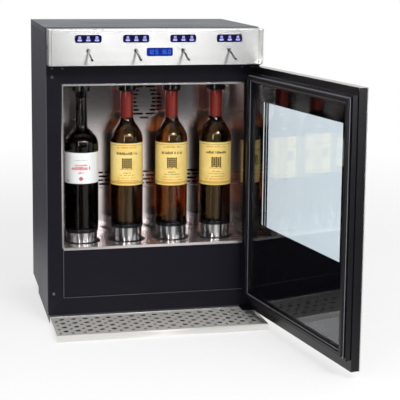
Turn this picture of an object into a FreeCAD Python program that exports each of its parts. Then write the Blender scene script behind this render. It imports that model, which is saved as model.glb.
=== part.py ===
import FreeCAD, Part
import math
import os
import re
import Sketcher
from FreeCAD import Placement, Rotation, Vector

# Wine dispenser for four bottles: a cooled cabinet with a glass door, sprung bottle lifts, gas-driven taps.
# X runs to the right, Y from the door to the back, Z up. The origin is the cabinet's centre on the floor.

os.makedirs("parts", exist_ok=True)
doc = FreeCAD.newDocument("WineDispenser")
sheet = doc.addObject("Spreadsheet::Sheet", "Sizes")

sizes = {
    # cabinet body
    "width": 480,
    "depth": 342,
    "height": 665,
    "outerSheet": 1.5,
    "lidFlange": 12.5,
    "panelBottom": 27.5,
    "panelReturn": 12,
    "plinthSide": 3,
    "plinthSetback": 3,
    "plinthDepth": 255,
    # black frame round the front
    "frameDepth": 18,
    "frameBevel": 2.5,
    "frameFloor": 18.5,
    "frameLower": 38,
    "openLeft": 37,
    "openRight": 30,
    "frameUpper": 43,
    # cooled chamber
    "chamberFloor": 172,
    "chamberDepth": 134,
    "liner": 1,
    "linerGap": 0.2,
    "trimWidth": 3.5,
    "floorLip": 6,
    "lowerPanelGap": 7,
    "foamBase": 31,
    "foamRear": 42,
    "foamTop": 42,
    "plenumDepth": 30,
    "plenumWidth": 124,
    "ductHeight": 64,
    "ductSide": 28,
    # louvred fan grille and return slots in the chamber back
    "slotHeight": 4.2,
    "slotPitch": 9.15,
    "grilleRadius": 42.6,
    "grilleHub": 19.4,
    "grilleBridge": 3.2,
    "grilleWebAt": 28,
    "grilleWeb": 2,
    "grilleDrop": 52,
    "returnRise": 149.8,
    "returnRows": 4,
    "returnSlot": 24,
    "returnPitch": 28,
    "returnInset": 29,
    # fascia with keypads, display and taps
    "fasciaProud": 50,
    "fasciaHeight": 78.5,
    "fasciaDrop": 2,
    "fasciaSide": 1.5,
    "fasciaBend": 1.5,
    "columnSpread": 5,
    "keypadWidth": 58,
    "keypadHeight": 16.5,
    "keypadRise": 58.5,
    "keypadCorner": 5,
    "keypadThick": 2.2,
    "keypadProud": 0.6,
    "buttonPitch": 18.6,
    "buttonRadius": 5.5,
    "buttonProud": 1.4,
    "buttonFlange": 6.6,
    "buttonLength": 10.5,
    "buttonTravel": 1.2,
    "buttonGap": 0.3,
    "displayWidth": 58,
    "displayHeight": 18,
    "displayRise": 29.5,
    "displayCorner": 4,
    "windowFit": 0.1,
    "boardThick": 1.6,
    "boardHeight": 30,
    "chipSize": 18,
    "chipThick": 3,
    "boardPost": 3,
    # taps
    "spoutRise": 32.5,
    "spoutRadius": 2.5,
    "spoutBore": 1.7,
    "spoutReach": 60,
    "spoutDrop": 15,
    "spoutTip": 9,
    "spoutBend": 6,
    "spoutCollar": 4.2,
    "valveWidth": 28,
    "valveDepth": 26,
    "valveHeight": 40,
    "coilRadius": 10,
    "coilLength": 7,
    "coilRise": 13,
    # bottle stoppers, pick-up tubes and gas
    "bottleInset": 70,
    "mouthClear": 21.5,
    "stopperHead": 21.9,
    "stopperChamfer": 1.5,
    "stopperPlug": 16,
    "stopperGap": 0.4,
    "plugClear": 0.35,
    "tubeRadius": 3,
    "tubeBend": 14,
    "tubeRise": 20,
    "tubeFoot": 16,
    "manifoldSize": 20,
    "manifoldInset": 92,
    "nippleRadius": 4,
    "nippleLength": 12,
    "regulatorRadius": 17,
    "regulatorLength": 44,
    "gasBore": 3.05,
    "gasBoreLength": 14,
    "gasBodyRadius": 7,
    "gasBodyInside": 20,
    "gasBodyOutside": 8,
    "gasCollar": 4,
    "gasDrop": 105,
    # bottle lifts
    "floorHole": 43,
    "sleeveWall": 1.5,
    "sleeveLength": 112,
    "cupRadius": 35,
    "cupWall": 2,
    "cupPad": 8,
    "cupSkirt": 88,
    "cupCollar": 4,
    "cupCollarGap": 0.4,
    "cupRise": 40,
    "firstCupDrop": 8,
    "liftTravel": 30,
    "reelRadius": 15,
    "reelWidth": 16,
    # bottles
    "bottleRadius": 37,
    "firstBottleRadius": 38.5,
    "shoulderShare": 0.682,
    "bottleSlope": 30,
    "firstBottleSlope": 22,
    "shoulderRound": 52,
    "firstShoulderRound": 40,
    "neckRound": 29,
    "firstNeckRound": 14,
    "neckRadius": 14.2,
    "firstNeckRadius": 14,
    "firstNeckTop": 12.2,
    "mouthRadius": 9.25,
    "finishRadius": 14.6,
    "firstFinishRadius": 13.2,
    "finishHeight": 15,
    "glassJoin": 24,
    "bottleWall": 3,
    "bottleBase": 5,
    "puntRadius": 26,
    "puntHeight": 22,
    "heelRound": 4,
    # circulation fan
    "fanSize": 92,
    "fanDepth": 25,
    "fanBore": 43,
    "fanHub": 17,
    "fanBlade": 41,
    "fanBlades": 7,
    "fanBladeThick": 1.6,
    "fanBladeTilt": 40,
    "fanInset": 5,
    "fanStrut": 4,
    "motorPlate": 2,
    "fanShaft": 2,
    "shaftClear": 0.05,
    # cooling module
    "coldWidth": 100,
    "coldHeight": 56,
    "coldDepth": 24,
    "cellSize": 44,
    "hotWidth": 130,
    "hotHeight": 120,
    "hotDepth": 48,
    "finThick": 1.5,
    "finPitch": 8,
    "finBase": 5,
    "coolerRise": 124,
    # power
    "supplyWidth": 110,
    "supplyDepth": 60,
    "supplyHeight": 150,
    "supplyGap": 30.5,
    "supplyRear": 6.5,
    "terminalInset": 10,
    "terminalDepth": 14,
    "terminalHeight": 10,
    "inletWidth": 50,
    "inletHeight": 28,
    "inletLift": 90,
    "inletInset": 60,
    "inletFlange": 2,
    "inletRecess": 15,
    # back panel vents
    "ventLength": 64,
    "ventRows": 12,
    "ventPitch": 9,
    "ventLift": 240,
    "ventAcross": 78,
    # door
    "doorGapTop": 5.5,
    "doorFloor": 18,
    "slabThick": 20,
    "hingeInset": 8,
    "hingeForward": 28,
    "doorProud": 40,
    "doorAngle": 99.3,
    "doorSkin": 2,
    "capThick": 1,
    "stileWidth": 16,
    "ringInset": 3,
    "ringFoot": 24,
    "ringCrown": 15,
    "ringWidth": 21,
    "ringHeight": 11.5,
    "paneRecess": 1.5,
    "gasketWidth": 12,
    "gasketBase": 2.5,
    "gasketBulb": 8,
    "gasketSqueeze": 0.5,
    "outerGlass": 4,
    "innerGlass": 4,
    "glassRebate": 6,
    "hingePin": 4,
    "pinClear": 0.05,
    "pinDepth": 13,
    "bracketThick": 3,
    "lowerBracketThick": 2.5,
    "bracketWidth": 34,
    "bracketNose": 6.5,
    "bracketLap": 30,
    "bracketLeg": 14,
    # drip tray
    "traySetback": 5,
    "trayDepth": 141,
    "trayHeight": 14.5,
    "traySheet": 1.2,
    "gridDrop": 1,
    "gridGap": 0.5,
    "bigHole": 6.2,
    "smallHole": 4.2,
    "holeMargin": 23,
    "holeRow": 14.3,
    "bigHoles": 17,
    "holeRows": 4,
    "firstHoleRow": 19.5,
    # screws
    "screwRadius": 3.2,
    "screwGrip": 8,
    "screwInset": 14,
    "screwSlot": 1,
}

# Places and lengths that follow from the sizes, written once as formulas.
derived = {
    "front": "-depth / 2",
    "rear": "depth / 2",
    "insideWidth": "width - 2 * outerSheet",
    "fasciaTop": "height - fasciaDrop",
    "fasciaBottom": "fasciaTop - fasciaHeight",
    "fasciaFace": "front - fasciaProud",
    "fasciaInner": "fasciaFace + outerSheet",
    "frameTop": "fasciaBottom - bracketThick",
    "chamberLeft": "-width / 2 + openLeft",
    "chamberRight": "width / 2 - openRight",
    "chamberWidth": "width - openLeft - openRight",
    "chamberCentre": "(openLeft - openRight) / 2",
    "chamberTop": "frameTop - frameUpper",
    "chamberHeight": "chamberTop - chamberFloor",
    "pitch": "(chamberWidth + columnSpread) / 4",
    "chamberRear": "front + chamberDepth",
    "holeLeft": "chamberLeft - liner - linerGap",
    "holeWidth": "chamberWidth + 2 * (liner + linerGap)",
    "holeBottom": "frameFloor + frameLower",
    "holeTop": "chamberTop + liner + linerGap",
    "trimBack": "front + frameBevel - 0.3",
    "foamFront": "front + frameDepth + 0.5",
    "foamBack": "chamberRear + foamRear",
    "foamBottom": "chamberFloor - liner - foamBase",
    "foamCrown": "chamberTop + foamTop",
    "plenumBack": "chamberRear + liner + plenumDepth",
    "grilleHeight": "chamberTop - grilleDrop",
    "returnTop": "chamberFloor + returnRise",
    "keypadHeightAt": "fasciaBottom + keypadRise",
    "displayHeightAt": "fasciaBottom + displayRise",
    "keypadFace": "fasciaFace - keypadProud",
    "buttonFace": "keypadFace - buttonProud",
    "buttonRear": "buttonFace + buttonLength",
    "boardFace": "buttonRear + buttonTravel + buttonGap",
    "spoutHeight": "fasciaBottom + spoutRise",
    "valveFront": "fasciaFace + 16",
    "bottleAxis": "front + bottleInset",
    "mouthHeight": "chamberTop - mouthClear",
    "cupTop": "chamberFloor + cupRise",
    "firstCupTop": "cupTop - firstCupDrop",
    "bottleShoulder": "shoulderShare * (mouthHeight - cupTop)",
    "stopperBase": "mouthHeight - stopperPlug",
    "tubeTop": "foamCrown + tubeRise",
    "manifoldFront": "front + manifoldInset",
    "hingeX": "width / 2 - hingeInset",
    "hingeY": "front - hingeForward",
    "doorTop": "fasciaBottom - doorGapTop",
    "doorHeight": "doorTop - doorFloor",
    "doorReach": "width / 2 - fasciaSide + hingeX",
    "doorEdge": "width / 2 - fasciaSide - hingeX",
    "doorWidth": "doorReach + doorEdge",
    "slabOuter": "hingeForward - doorProud",
    "slabInner": "slabOuter + slabThick",
    "gasketFace": "hingeForward - gasketSqueeze",
    "ringFace": "slabInner + ringHeight",
    "ringLeft": "-doorReach + ringInset",
    "ringBottom": "doorFloor + ringFoot",
    "ringLong": "doorWidth - 2 * ringInset",
    "ringTall": "doorHeight - ringFoot - ringCrown",
    "lowerBracketTop": "doorFloor - 0.4",
    "trayFront": "front - trayDepth",
    "trayWidth": "width - 2 * traySetback",
    "holePitch": "(trayWidth - 2 * holeMargin) / (bigHoles - 1)",
    "sleeveRadius": "floorHole + sleeveWall",
    "fanFront": "chamberRear + liner",
    "coldFront": "chamberRear + liner + 3",
    "coolerHeight": "chamberFloor + coolerRise",
    "supplyLeft": "insideWidth / 2 - supplyGap",
    "supplyInset": "plinthSetback + plinthDepth - outerSheet - supplyRear - supplyDepth",
    "gasHeight": "height - gasDrop",
    "inletAcross": "width / 2 - inletInset",
    "inletX": "-inletAcross",
    "mouthGap": "mouthRadius - plugClear",
}

for row, (name, number) in enumerate(sizes.items(), start=1):
    sheet.set(f"A{row}", name)
    sheet.set(f"B{row}", str(number))
    sheet.setAlias(f"B{row}", name)
doc.recompute()


def formula(text):
    """Spells a formula out in sheet cells."""

    def spell(match):
        word = match.group(0)
        if word in derived:
            return f"({formula(derived[word])})"
        return f"Sizes.{word}" if word in sizes else word

    return re.sub(r"[A-Za-z]\w*", spell, str(text))


def value(text):
    return float(sheet.evalExpression(formula(text)))


def bind(thing, **settings):
    for setting, text in settings.items():
        thing.setExpression(setting, formula(text))
    return thing


def put(thing, x, y, z, turn=None):
    if turn is not None:
        thing.Placement = Placement(Vector(), turn)
    for axis, text in zip("xyz", (x, y, z)):
        thing.setExpression(f"Placement.Base.{axis}", formula(text))
    return thing


def make(kind, name):
    return doc.addObject(kind, name)


upright = Rotation()
alongX = Rotation(Vector(0, 1, 0), 90)
alongY = Rotation(Vector(1, 0, 0), -90)
towardDoor = Rotation(Vector(1, 0, 0), 90)


def box(name, x, y, z, length, width, height):
    block = bind(make("Part::Box", name), Length=length, Width=width, Height=height)
    return put(block, x, y, z)


def rod(name, x, y, z, radius, height, turn=upright):
    return put(bind(make("Part::Cylinder", name), Radius=radius, Height=height), x, y, z, turn)


def cut(name, base, *tools):
    result = make("Part::Cut", name)
    result.Base = base
    result.Tool = tools[0] if len(tools) == 1 else group(name + "Tools", *tools)
    return result


def fuse(name, *solids):
    result = make("Part::MultiFuse", name)
    result.Shapes = list(solids)
    return result


def common(name, first, second):
    result = make("Part::Common", name)
    result.Base, result.Tool = first, second
    return result


def group(name, *solids):
    result = make("Part::Compound", name)
    result.Links = list(solids)
    return result


def shaped(name, solids):
    """A compound of solids that a loop has worked out."""
    result = make("Part::Feature", name)
    result.Shape = Part.Compound(solids)
    return result


def rounded(name, base, radius, chosen):
    """Rounds the edges of base for which chosen(edge) is true."""
    doc.recompute()
    result = make("Part::Fillet", name)
    result.Base = base
    size = value(radius)
    edges = base.Shape.Edges
    result.Edges = [(i, size, size) for i, edge in enumerate(edges, start=1) if chosen(edge)]
    return result


def runsAlong(axis):
    """True for a straight edge parallel to that axis."""

    def chosen(edge):
        step = edge.lastVertex().Point - edge.firstVertex().Point
        return abs(abs(step.dot(axis)) - step.Length) < 1e-6 and step.Length > 1e-6

    return chosen


def roundedPlate(name, x, y, z, length, thick, height, corner):
    """A plate centred on x and z, thick along Y from y, with round corners."""
    plate = box(name + "Blank", f"{x} - ({length}) / 2", y, f"{z} - ({height}) / 2", length, thick, height)
    return rounded(name, plate, corner, runsAlong(Vector(0, 1, 0)))


def revolved(name, points):
    """A body turned about Z from a closed outline of (radius, height) formulas."""
    body = make("PartDesign::Body", name)
    sketch = body.newObject("Sketcher::SketchObject", name + "Outline")
    plane = next(f for f in body.Origin.OriginFeatures if f.Role == "XZ_Plane")
    sketch.AttachmentSupport = (plane, [""])
    sketch.MapMode = "FlatFace"
    corners = [Vector(value(r), value(z), 0) for r, z in points]
    count = len(corners)
    for i in range(count):
        sketch.addGeometry(Part.LineSegment(corners[i], corners[(i + 1) % count]))
    for i in range(count):
        sketch.addConstraint(Sketcher.Constraint("Coincident", i, 2, (i + 1) % count, 1))
    for i, (r, z) in enumerate(points):
        for kind, text, axis, size in (("DistanceX", r, -2, corners[i].x),
                                       ("DistanceY", z, -1, corners[i].y)):
            if text == "0":
                sketch.addConstraint(Sketcher.Constraint("PointOnObject", i, 1, axis))
            else:
                index = sketch.addConstraint(Sketcher.Constraint(kind, -1, 1, i, 1, size))
                sketch.setExpression(f"Constraints[{index}]", formula(text))
    turned = body.newObject("PartDesign::Revolution", name + "Turned")
    turned.Profile = sketch
    turned.ReferenceAxis = (sketch, ["V_Axis"])
    turned.Angle = 360
    return body


def softened(body, rounds):
    """Rounds the circular edges of a turned body, given as (radius, height, round) formulas."""
    for step, (r, z, size) in enumerate(rounds):
        doc.recompute()
        last = body.Tip
        names = []
        for i, edge in enumerate(last.Shape.Edges, start=1):
            ring = edge.Curve
            if isinstance(ring, Part.Circle) and abs(ring.Radius - value(r)) < 1e-3:
                if abs(ring.Center.z - value(z)) < 1e-3 and abs(ring.Axis.z) > 0.5:
                    names.append(f"Edge{i}")
        fillet = body.newObject("PartDesign::Fillet", f"{body.Name}Round{step}")
        fillet.Base = (last, names)
        fillet.setExpression("Radius", formula(size))
    return body


def bentWire(points, radius):
    """A wire through the points, its corners rounded by arcs of that radius."""
    edges = []
    start = points[0]
    for before, corner, after in zip(points, points[1:], points[2:]):
        back = (before - corner).normalize()
        ahead = (after - corner).normalize()
        half = back.getAngle(ahead) / 2
        reach = radius / math.tan(half)
        middle = (back + ahead).normalize()
        centre = corner + middle * (radius / math.sin(half))
        near, far = corner + back * reach, corner + ahead * reach
        edges.append(Part.LineSegment(start, near).toShape())
        edges.append(Part.Arc(near, centre - middle * radius, far).toShape())
        start = far
    edges.append(Part.LineSegment(start, points[-1]).toShape())
    return Part.Wire(edges)


def tube(wire, radius):
    """A round bar swept along a wire."""
    first = wire.OrderedEdges[0]
    heading = first.tangentAt(first.FirstParameter)
    ring = Part.Wire(Part.Circle(wire.OrderedVertexes[0].Point, heading, radius).toShape())
    return wire.makePipeShell([ring], True, False)


nodes = []


def node(thing, label):
    thing.Label = label
    nodes.append(thing)
    return thing


columns = [f"(chamberCentre + ({i} - 1.5) * pitch)" for i in range(4)]


# ---- cabinet shell ----

def makeShell():
    node(cut("Plinth",
             box("PlinthBlock", "-insideWidth / 2 + plinthSide", "front + plinthSetback", 0,
                 "insideWidth - 2 * plinthSide", "plinthDepth", "panelBottom"),
             box("PlinthRoom", "-insideWidth / 2 + plinthSide + outerSheet",
                 "front + plinthSetback + outerSheet", "outerSheet",
                 "insideWidth - 2 * (plinthSide + outerSheet)", "plinthDepth - 2 * outerSheet",
                 "panelBottom"),
             box("PlinthNotch", "-width / 2", "front", "frameFloor - 0.5", "width", "frameDepth + 0.5",
                 "panelBottom")), "base_plinth")
    panelTop = "height - lidFlange"
    for side, edge, foot in (("left", "-width / 2", "-width / 2"),
                             ("right", "width / 2 - outerSheet", "width / 2 - panelReturn")):
        node(fuse("Panel" + side,
                  box("PanelSheet" + side, edge, "front", "panelBottom", "outerSheet", "depth",
                      f"{panelTop} - panelBottom"),
                  box("PanelFoot" + side, foot, "front + frameDepth + 1", "panelBottom", "panelReturn",
                      "depth - frameDepth - 1 - 2 * outerSheet", "outerSheet")), f"side_panel_{side}")
    node(cut("Lid",
             box("LidBlock", "-width / 2", "front", panelTop, "width", "depth", "lidFlange"),
             box("LidRoom", "-width / 2 + outerSheet", "front + outerSheet", f"{panelTop} - 1",
                 "insideWidth", "depth - 2 * outerSheet", "lidFlange - outerSheet + 1")), "top_lid")


def makeRearPanel():
    standing = box("RearSheet", "-insideWidth / 2", "rear - outerSheet", "panelBottom", "insideWidth",
                  "outerSheet", "height - lidFlange - panelBottom")
    foldStart = "(front + plinthSetback + plinthDepth)"
    fold = box("RearFold", "-width / 2 + panelReturn", foldStart, "panelBottom", "width - 2 * panelReturn",
               f"rear - outerSheet - {foldStart}", "outerSheet")
    sheetPanel = fuse("RearBlank", standing, fold)
    length, tall = value("ventLength"), value("slotHeight")
    slots = []
    for column in (-1, 1):
        for row in range(int(value("ventRows"))):
            corner = Vector(column * value("ventAcross") - length / 2, value("rear") - 5,
                            value("ventLift") + row * value("ventPitch"))
            slots.append(Part.makeBox(length, 10, tall, corner))
    inletHole = box("InletHole", "inletX - inletWidth / 2 + 8", "rear - 5", "inletLift - inletHeight / 2 + 3",
                    "inletWidth - 16", 10, "inletHeight - 6")
    gasHole = rod("GasHole", "inletAcross", "rear - 5", "gasHeight", "gasBodyRadius", 10, alongY)
    node(cut("RearPanel", sheetPanel, shaped("RearVents", slots), inletHole, gasHole), "rear_panel")


def makeFrontFrame():
    blank = box("FrameBlank", "-insideWidth / 2", "front", "frameFloor", "insideWidth", "frameDepth",
                "frameTop - frameFloor")
    bevel = bind(make("Part::Wedge", "FrameBevelTool"), Xmin=0, Ymin=0, Zmin=0, Xmax="insideWidth",
                 Ymax="frameBevel", Zmax="frameTop - frameFloor", X2min="holeLeft + insideWidth / 2",
                 X2max="holeLeft + insideWidth / 2 + holeWidth", Z2min="frameLower",
                 Z2max="holeTop - frameFloor")
    put(bevel, "-insideWidth / 2", "front", "frameFloor")
    hole = box("FrameHole", "holeLeft", "front - 1", "holeBottom", "holeWidth", "frameDepth + 2",
               "holeTop - holeBottom")
    node(cut("FrontFrame", blank, bevel, hole, nodes[0]), "front_frame")
    node(box("LowerPanel", "holeLeft", "front + frameBevel", "holeBottom", "holeWidth", "outerSheet",
             "chamberFloor - lowerPanelGap - holeBottom"), "lower_front_panel")


# ---- cooled chamber ----

def makeChamber():
    lowEdge = "chamberFloor - liner"
    for side, edge, flange in (("left", "chamberLeft - liner", "chamberLeft - trimWidth"),
                               ("right", "chamberRight", "chamberRight")):
        node(fuse("Wall" + side,
                  box("WallSheet" + side, edge, "trimBack", lowEdge, "liner",
                      "chamberRear + liner - trimBack", "chamberHeight + 2 * liner"),
                  box("WallTrim" + side, flange, "trimBack - liner", lowEdge, "trimWidth", "liner",
                      "chamberHeight + liner + trimWidth")), f"chamber_wall_{side}")
    ceiling = fuse("CeilingBlank",
                   box("CeilingSheet", "chamberLeft", "trimBack", "chamberTop", "chamberWidth",
                       "chamberRear + liner - trimBack", "liner"),
                   box("CeilingTrim", "chamberLeft", "trimBack - liner", "chamberTop", "chamberWidth",
                       "liner", "trimWidth"))
    tubeHoles = [rod(f"CeilingHole{i}", x, "bottleAxis", "chamberTop - 1", "tubeRadius", "liner + 2")
                 for i, x in enumerate(columns)]
    node(cut("Ceiling", ceiling, *tubeHoles), "chamber_ceiling")
    floor = fuse("FloorBlank",
                 box("FloorSheet", "chamberLeft", "trimBack - liner", lowEdge, "chamberWidth",
                     "chamberRear + 2 * liner - trimBack", "liner"),
                 box("FloorLip", "chamberLeft", "trimBack - liner", "chamberFloor - floorLip", "chamberWidth",
                     "liner", "floorLip"))
    liftHoles = [rod(f"FloorHole{i}", x, "bottleAxis", f"{lowEdge} - 1", "floorHole", "liner + 2")
                 for i, x in enumerate(columns)]
    node(cut("Floor", floor, *liftHoles), "chamber_floor")


def slot(left, right, middle):
    """One louvre opening through the chamber back, round at both ends."""
    tall = value("slotHeight")
    y = value("chamberRear") - 2
    depth = value("liner") + 4
    bar = Part.makeBox(right - left - tall, depth, tall, Vector(left + tall / 2, y, middle - tall / 2))
    ends = [Part.makeCylinder(tall / 2, depth, Vector(x, y, middle), Vector(0, 1, 0))
            for x in (left + tall / 2, right - tall / 2)]
    return bar.fuse(ends).removeSplitter()


def makeChamberBack():
    step, centre, height = value("slotPitch"), value("chamberCentre"), value("grilleHeight")
    outer, hub, bridge = value("grilleRadius"), value("grilleHub"), value("grilleBridge")
    web, half = value("grilleWebAt"), value("grilleWeb / 2")
    slots = []
    rows = int(outer / step)
    for k in range(rows + 1):
        offset = (k + 0.5) * step
        if offset > outer:
            continue
        reach = math.sqrt(outer ** 2 - offset ** 2)
        inner = hub - 0.3 * offset if offset < 1.25 * hub else bridge
        if reach < 2 * step:
            spans = [(-reach, reach)]
        elif reach > web + 2 * step / 3:
            spans = [(inner, web - half), (web + half, reach)]
        else:
            spans = [(inner, reach)]
        for middle in (height + offset, height - offset):
            for near, far in spans:
                slots.append(slot(centre + near, centre + far, middle))
                if near > 0:
                    slots.append(slot(centre - far, centre - near, middle))
    length, pitch = value("returnSlot"), value("returnPitch")
    start = value("chamberLeft + returnInset")
    across = int((value("chamberRight") - start - pitch / 2) / pitch)
    for row in range(int(value("returnRows"))):
        middle = value("returnTop") - (row + 0.5) * step
        for k in range(across):
            left = start + (k + 0.5 * (row % 2)) * pitch
            slots.append(slot(left, left + length, middle))
    node(cut("Back", box("BackSheet", "chamberLeft", "chamberRear", "chamberFloor", "chamberWidth", "liner",
                         "chamberHeight"), shaped("BackSlots", slots)), "chamber_back")


def makeFoam():
    block = box("FoamBlock", "-insideWidth / 2", "foamFront", "foamBottom", "insideWidth",
                "foamBack - foamFront", "foamCrown - foamBottom")
    room = box("FoamRoom", "chamberLeft - liner", "foamFront - 1", "chamberFloor - liner",
               "chamberWidth + 2 * liner", "chamberRear + liner - foamFront + 1", "chamberHeight + 2 * liner")
    plenum = box("FoamPlenum", "chamberCentre - plenumWidth / 2", "chamberRear",
                 "coolerHeight - ductHeight / 2", "plenumWidth", "plenumDepth + liner",
                 "chamberTop - coolerHeight + ductHeight / 2")
    duct = box("FoamDuct", "chamberLeft + ductSide", "chamberRear", "coolerHeight - ductHeight / 2",
               "chamberWidth - 2 * ductSide", "plenumDepth + liner", "ductHeight")
    cell = box("FoamCell", "chamberCentre - cellSize / 2", "chamberRear", "coolerHeight - cellSize / 2",
               "cellSize", "foamRear + 5", "cellSize")
    sleeves = [rod(f"FoamSleeve{i}", x, "bottleAxis", "foamBottom - 1", "sleeveRadius",
                   "foamBase + liner + 2")
               for i, x in enumerate(columns)]
    risers = [rod(f"FoamRiser{i}", x, "bottleAxis", "chamberTop", "tubeRadius", "foamTop + 1")
              for i, x in enumerate(columns)]
    node(cut("Foam", block, fuse("FoamCavity", room, plenum, duct, cell, *sleeves, *risers)),
         "foam_insulation")


# ---- fascia, keypads, display and taps ----

def makeFascia():
    blank = box("FasciaBlank", "-width / 2 + fasciaSide", "fasciaFace", "fasciaBottom",
                "width - 2 * fasciaSide", "fasciaProud", "fasciaHeight")
    doc.recompute()
    face = value("fasciaFace")

    def onFace(edge):
        return all(abs(v.Y - face) < 1e-6 for v in edge.Vertexes)

    folded = rounded("FasciaFolded", blank, "fasciaBend", onFace)
    room = box("FasciaRoom", "-width / 2 + fasciaSide + outerSheet", "fasciaInner",
               "fasciaBottom + outerSheet", "width - 2 * (fasciaSide + outerSheet)", "fasciaProud",
               "fasciaHeight - 2 * outerSheet")
    tools = [room]
    for i, x in enumerate(columns):
        tools.append(roundedPlate(f"KeypadOpening{i}", x, "fasciaFace - 1", "keypadHeightAt",
                                  "keypadWidth + 2 * windowFit", 4, "keypadHeight + 2 * windowFit",
                                  "keypadCorner + windowFit"))
        tools.append(rod(f"SpoutOpening{i}", x, "fasciaFace - 1", "spoutHeight", "spoutRadius", 4, alongY))
    tools.append(roundedPlate("DisplayOpening", "chamberCentre", "fasciaFace - 1", "displayHeightAt",
                              "displayWidth + 2 * windowFit", 4, "displayHeight + 2 * windowFit",
                              "displayCorner + windowFit"))
    node(cut("Fascia", folded, *tools), "fascia")


def makeControls():
    plates = []
    for i, x in enumerate(columns):
        plate = roundedPlate(f"KeypadPlate{i}", x, "keypadFace", "keypadHeightAt", "keypadWidth",
                             "keypadThick", "keypadHeight", "keypadCorner")
        holes = [rod(f"KeypadHole{i}{k}", f"{x} + ({k} - 1) * buttonPitch", "keypadFace - 1",
                     "keypadHeightAt", "buttonRadius + buttonGap", "keypadThick + 2", alongY)
                 for k in range(3)]
        plates.append(cut(f"Keypad{i}", plate, *holes))
    node(group("Keypads", *plates), "keypad_plates")
    node(roundedPlate("Display", "chamberCentre", "keypadFace", "displayHeightAt", "displayWidth",
                      "keypadThick", "displayHeight", "displayCorner"), "display_window")
    board = box("BoardSheet", f"{columns[0]} - keypadWidth / 2", "boardFace",
                "keypadHeightAt - boardHeight / 2", "3 * pitch + keypadWidth", "boardThick", "boardHeight")
    posts = [rod(f"BoardPost{i}", f"{columns[i]} + pitch / 2", "fasciaInner", "keypadHeightAt", "boardPost",
                 "boardFace - fasciaInner", alongY) for i in range(3)]
    chips = [box(f"BoardChip{i}", f"{x} - chipSize / 2", "boardFace + boardThick",
                 "keypadHeightAt - chipSize / 2", "chipSize", "chipThick", "chipSize")
             for i, x in enumerate(columns)]
    node(fuse("Board", board, *posts, *chips), "control_board")


def makeButtons():
    portions = ("small", "medium", "large")
    for i, x in enumerate(columns):
        for k, portion in enumerate(portions):
            button = revolved(f"Button{i}{k}", [
                ("0", "0"), ("2", "0"), ("2", "buttonLength - keypadThick - buttonProud - 2.4"),
                ("buttonFlange", "buttonLength - keypadThick - buttonProud - 2.4"),
                ("buttonFlange", "buttonLength - keypadThick - buttonProud - 0.8"),
                ("buttonRadius", "buttonLength - keypadThick - buttonProud - 0.8"),
                ("buttonRadius", "buttonLength"), ("0", "buttonLength")])
            softened(button, [("buttonRadius", "buttonLength", "0.6")])
            put(button, f"{x} + ({k} - 1) * buttonPitch", "buttonRear", "keypadHeightAt", towardDoor)
            node(button, f"dose_button_{i + 1}_{portion}")


def makeSpouts():
    spouts, valves = [], []
    for i, column in enumerate(columns):
        x, z = value(column), value("spoutHeight")
        face, tip = value("fasciaFace"), value("fasciaFace - spoutReach")
        low = z - value("spoutDrop")
        points = [Vector(x, value("valveFront"), z), Vector(x, face - 5, z),
                  Vector(x, tip + value("spoutTip"), low), Vector(x, tip, low)]
        wire = bentWire(points, value("spoutBend"))
        pipe = tube(wire, value("spoutRadius")).cut(tube(wire, value("spoutBore")))
        ring = Part.makeCylinder(value("spoutCollar"), 2, Vector(x, face - 2, z), Vector(0, 1, 0))
        bore = Part.makeCylinder(value("spoutRadius"), 2, Vector(x, face - 2, z), Vector(0, 1, 0))
        spouts.append(pipe.fuse(ring.cut(bore)).removeSplitter())
        body = box(f"ValveBody{i}", f"{column} - valveWidth / 2", "valveFront", "fasciaBottom + outerSheet",
                   "valveWidth", "valveDepth", "valveHeight")
        coil = rod(f"ValveCoil{i}", column, "valveFront + valveDepth", "fasciaBottom + outerSheet + coilRise",
                   "coilRadius", "coilLength", alongY)
        valves.append(fuse(f"Valve{i}", body, coil))
    node(shaped("Spouts", spouts), "pour_spouts")
    node(group("Valves", *valves), "pour_valves")


def makeStoppers():
    stoppers, tubes = [], []
    for i, column in enumerate(columns):
        stopper = revolved(f"Stopper{i}", [
            ("tubeRadius", "0"), ("mouthGap", "0"), ("mouthGap", "stopperPlug + stopperGap"),
            ("stopperHead - stopperChamfer", "stopperPlug + stopperGap"),
            ("stopperHead", "stopperPlug + stopperGap + stopperChamfer"),
            ("stopperHead", "chamberTop - stopperBase"), ("tubeRadius", "chamberTop - stopperBase")])
        stoppers.append(put(stopper, column, "bottleAxis", "stopperBase"))
        x, y = value(column), value("bottleAxis")
        foot, top = value("cupTop + puntHeight + bottleWall + tubeFoot"), value("tubeTop")
        coilRear = value("valveFront + valveDepth + coilLength")
        ends = [Vector(x, y, foot), Vector(x, y, top), Vector(x, coilRear, top)]
        tubes.append(tube(bentWire(ends, value("tubeBend")), value("tubeRadius")))
    node(group("Stoppers", *stoppers), "bottle_stoppers")
    node(shaped("Tubes", tubes), "pickup_tubes")


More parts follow.
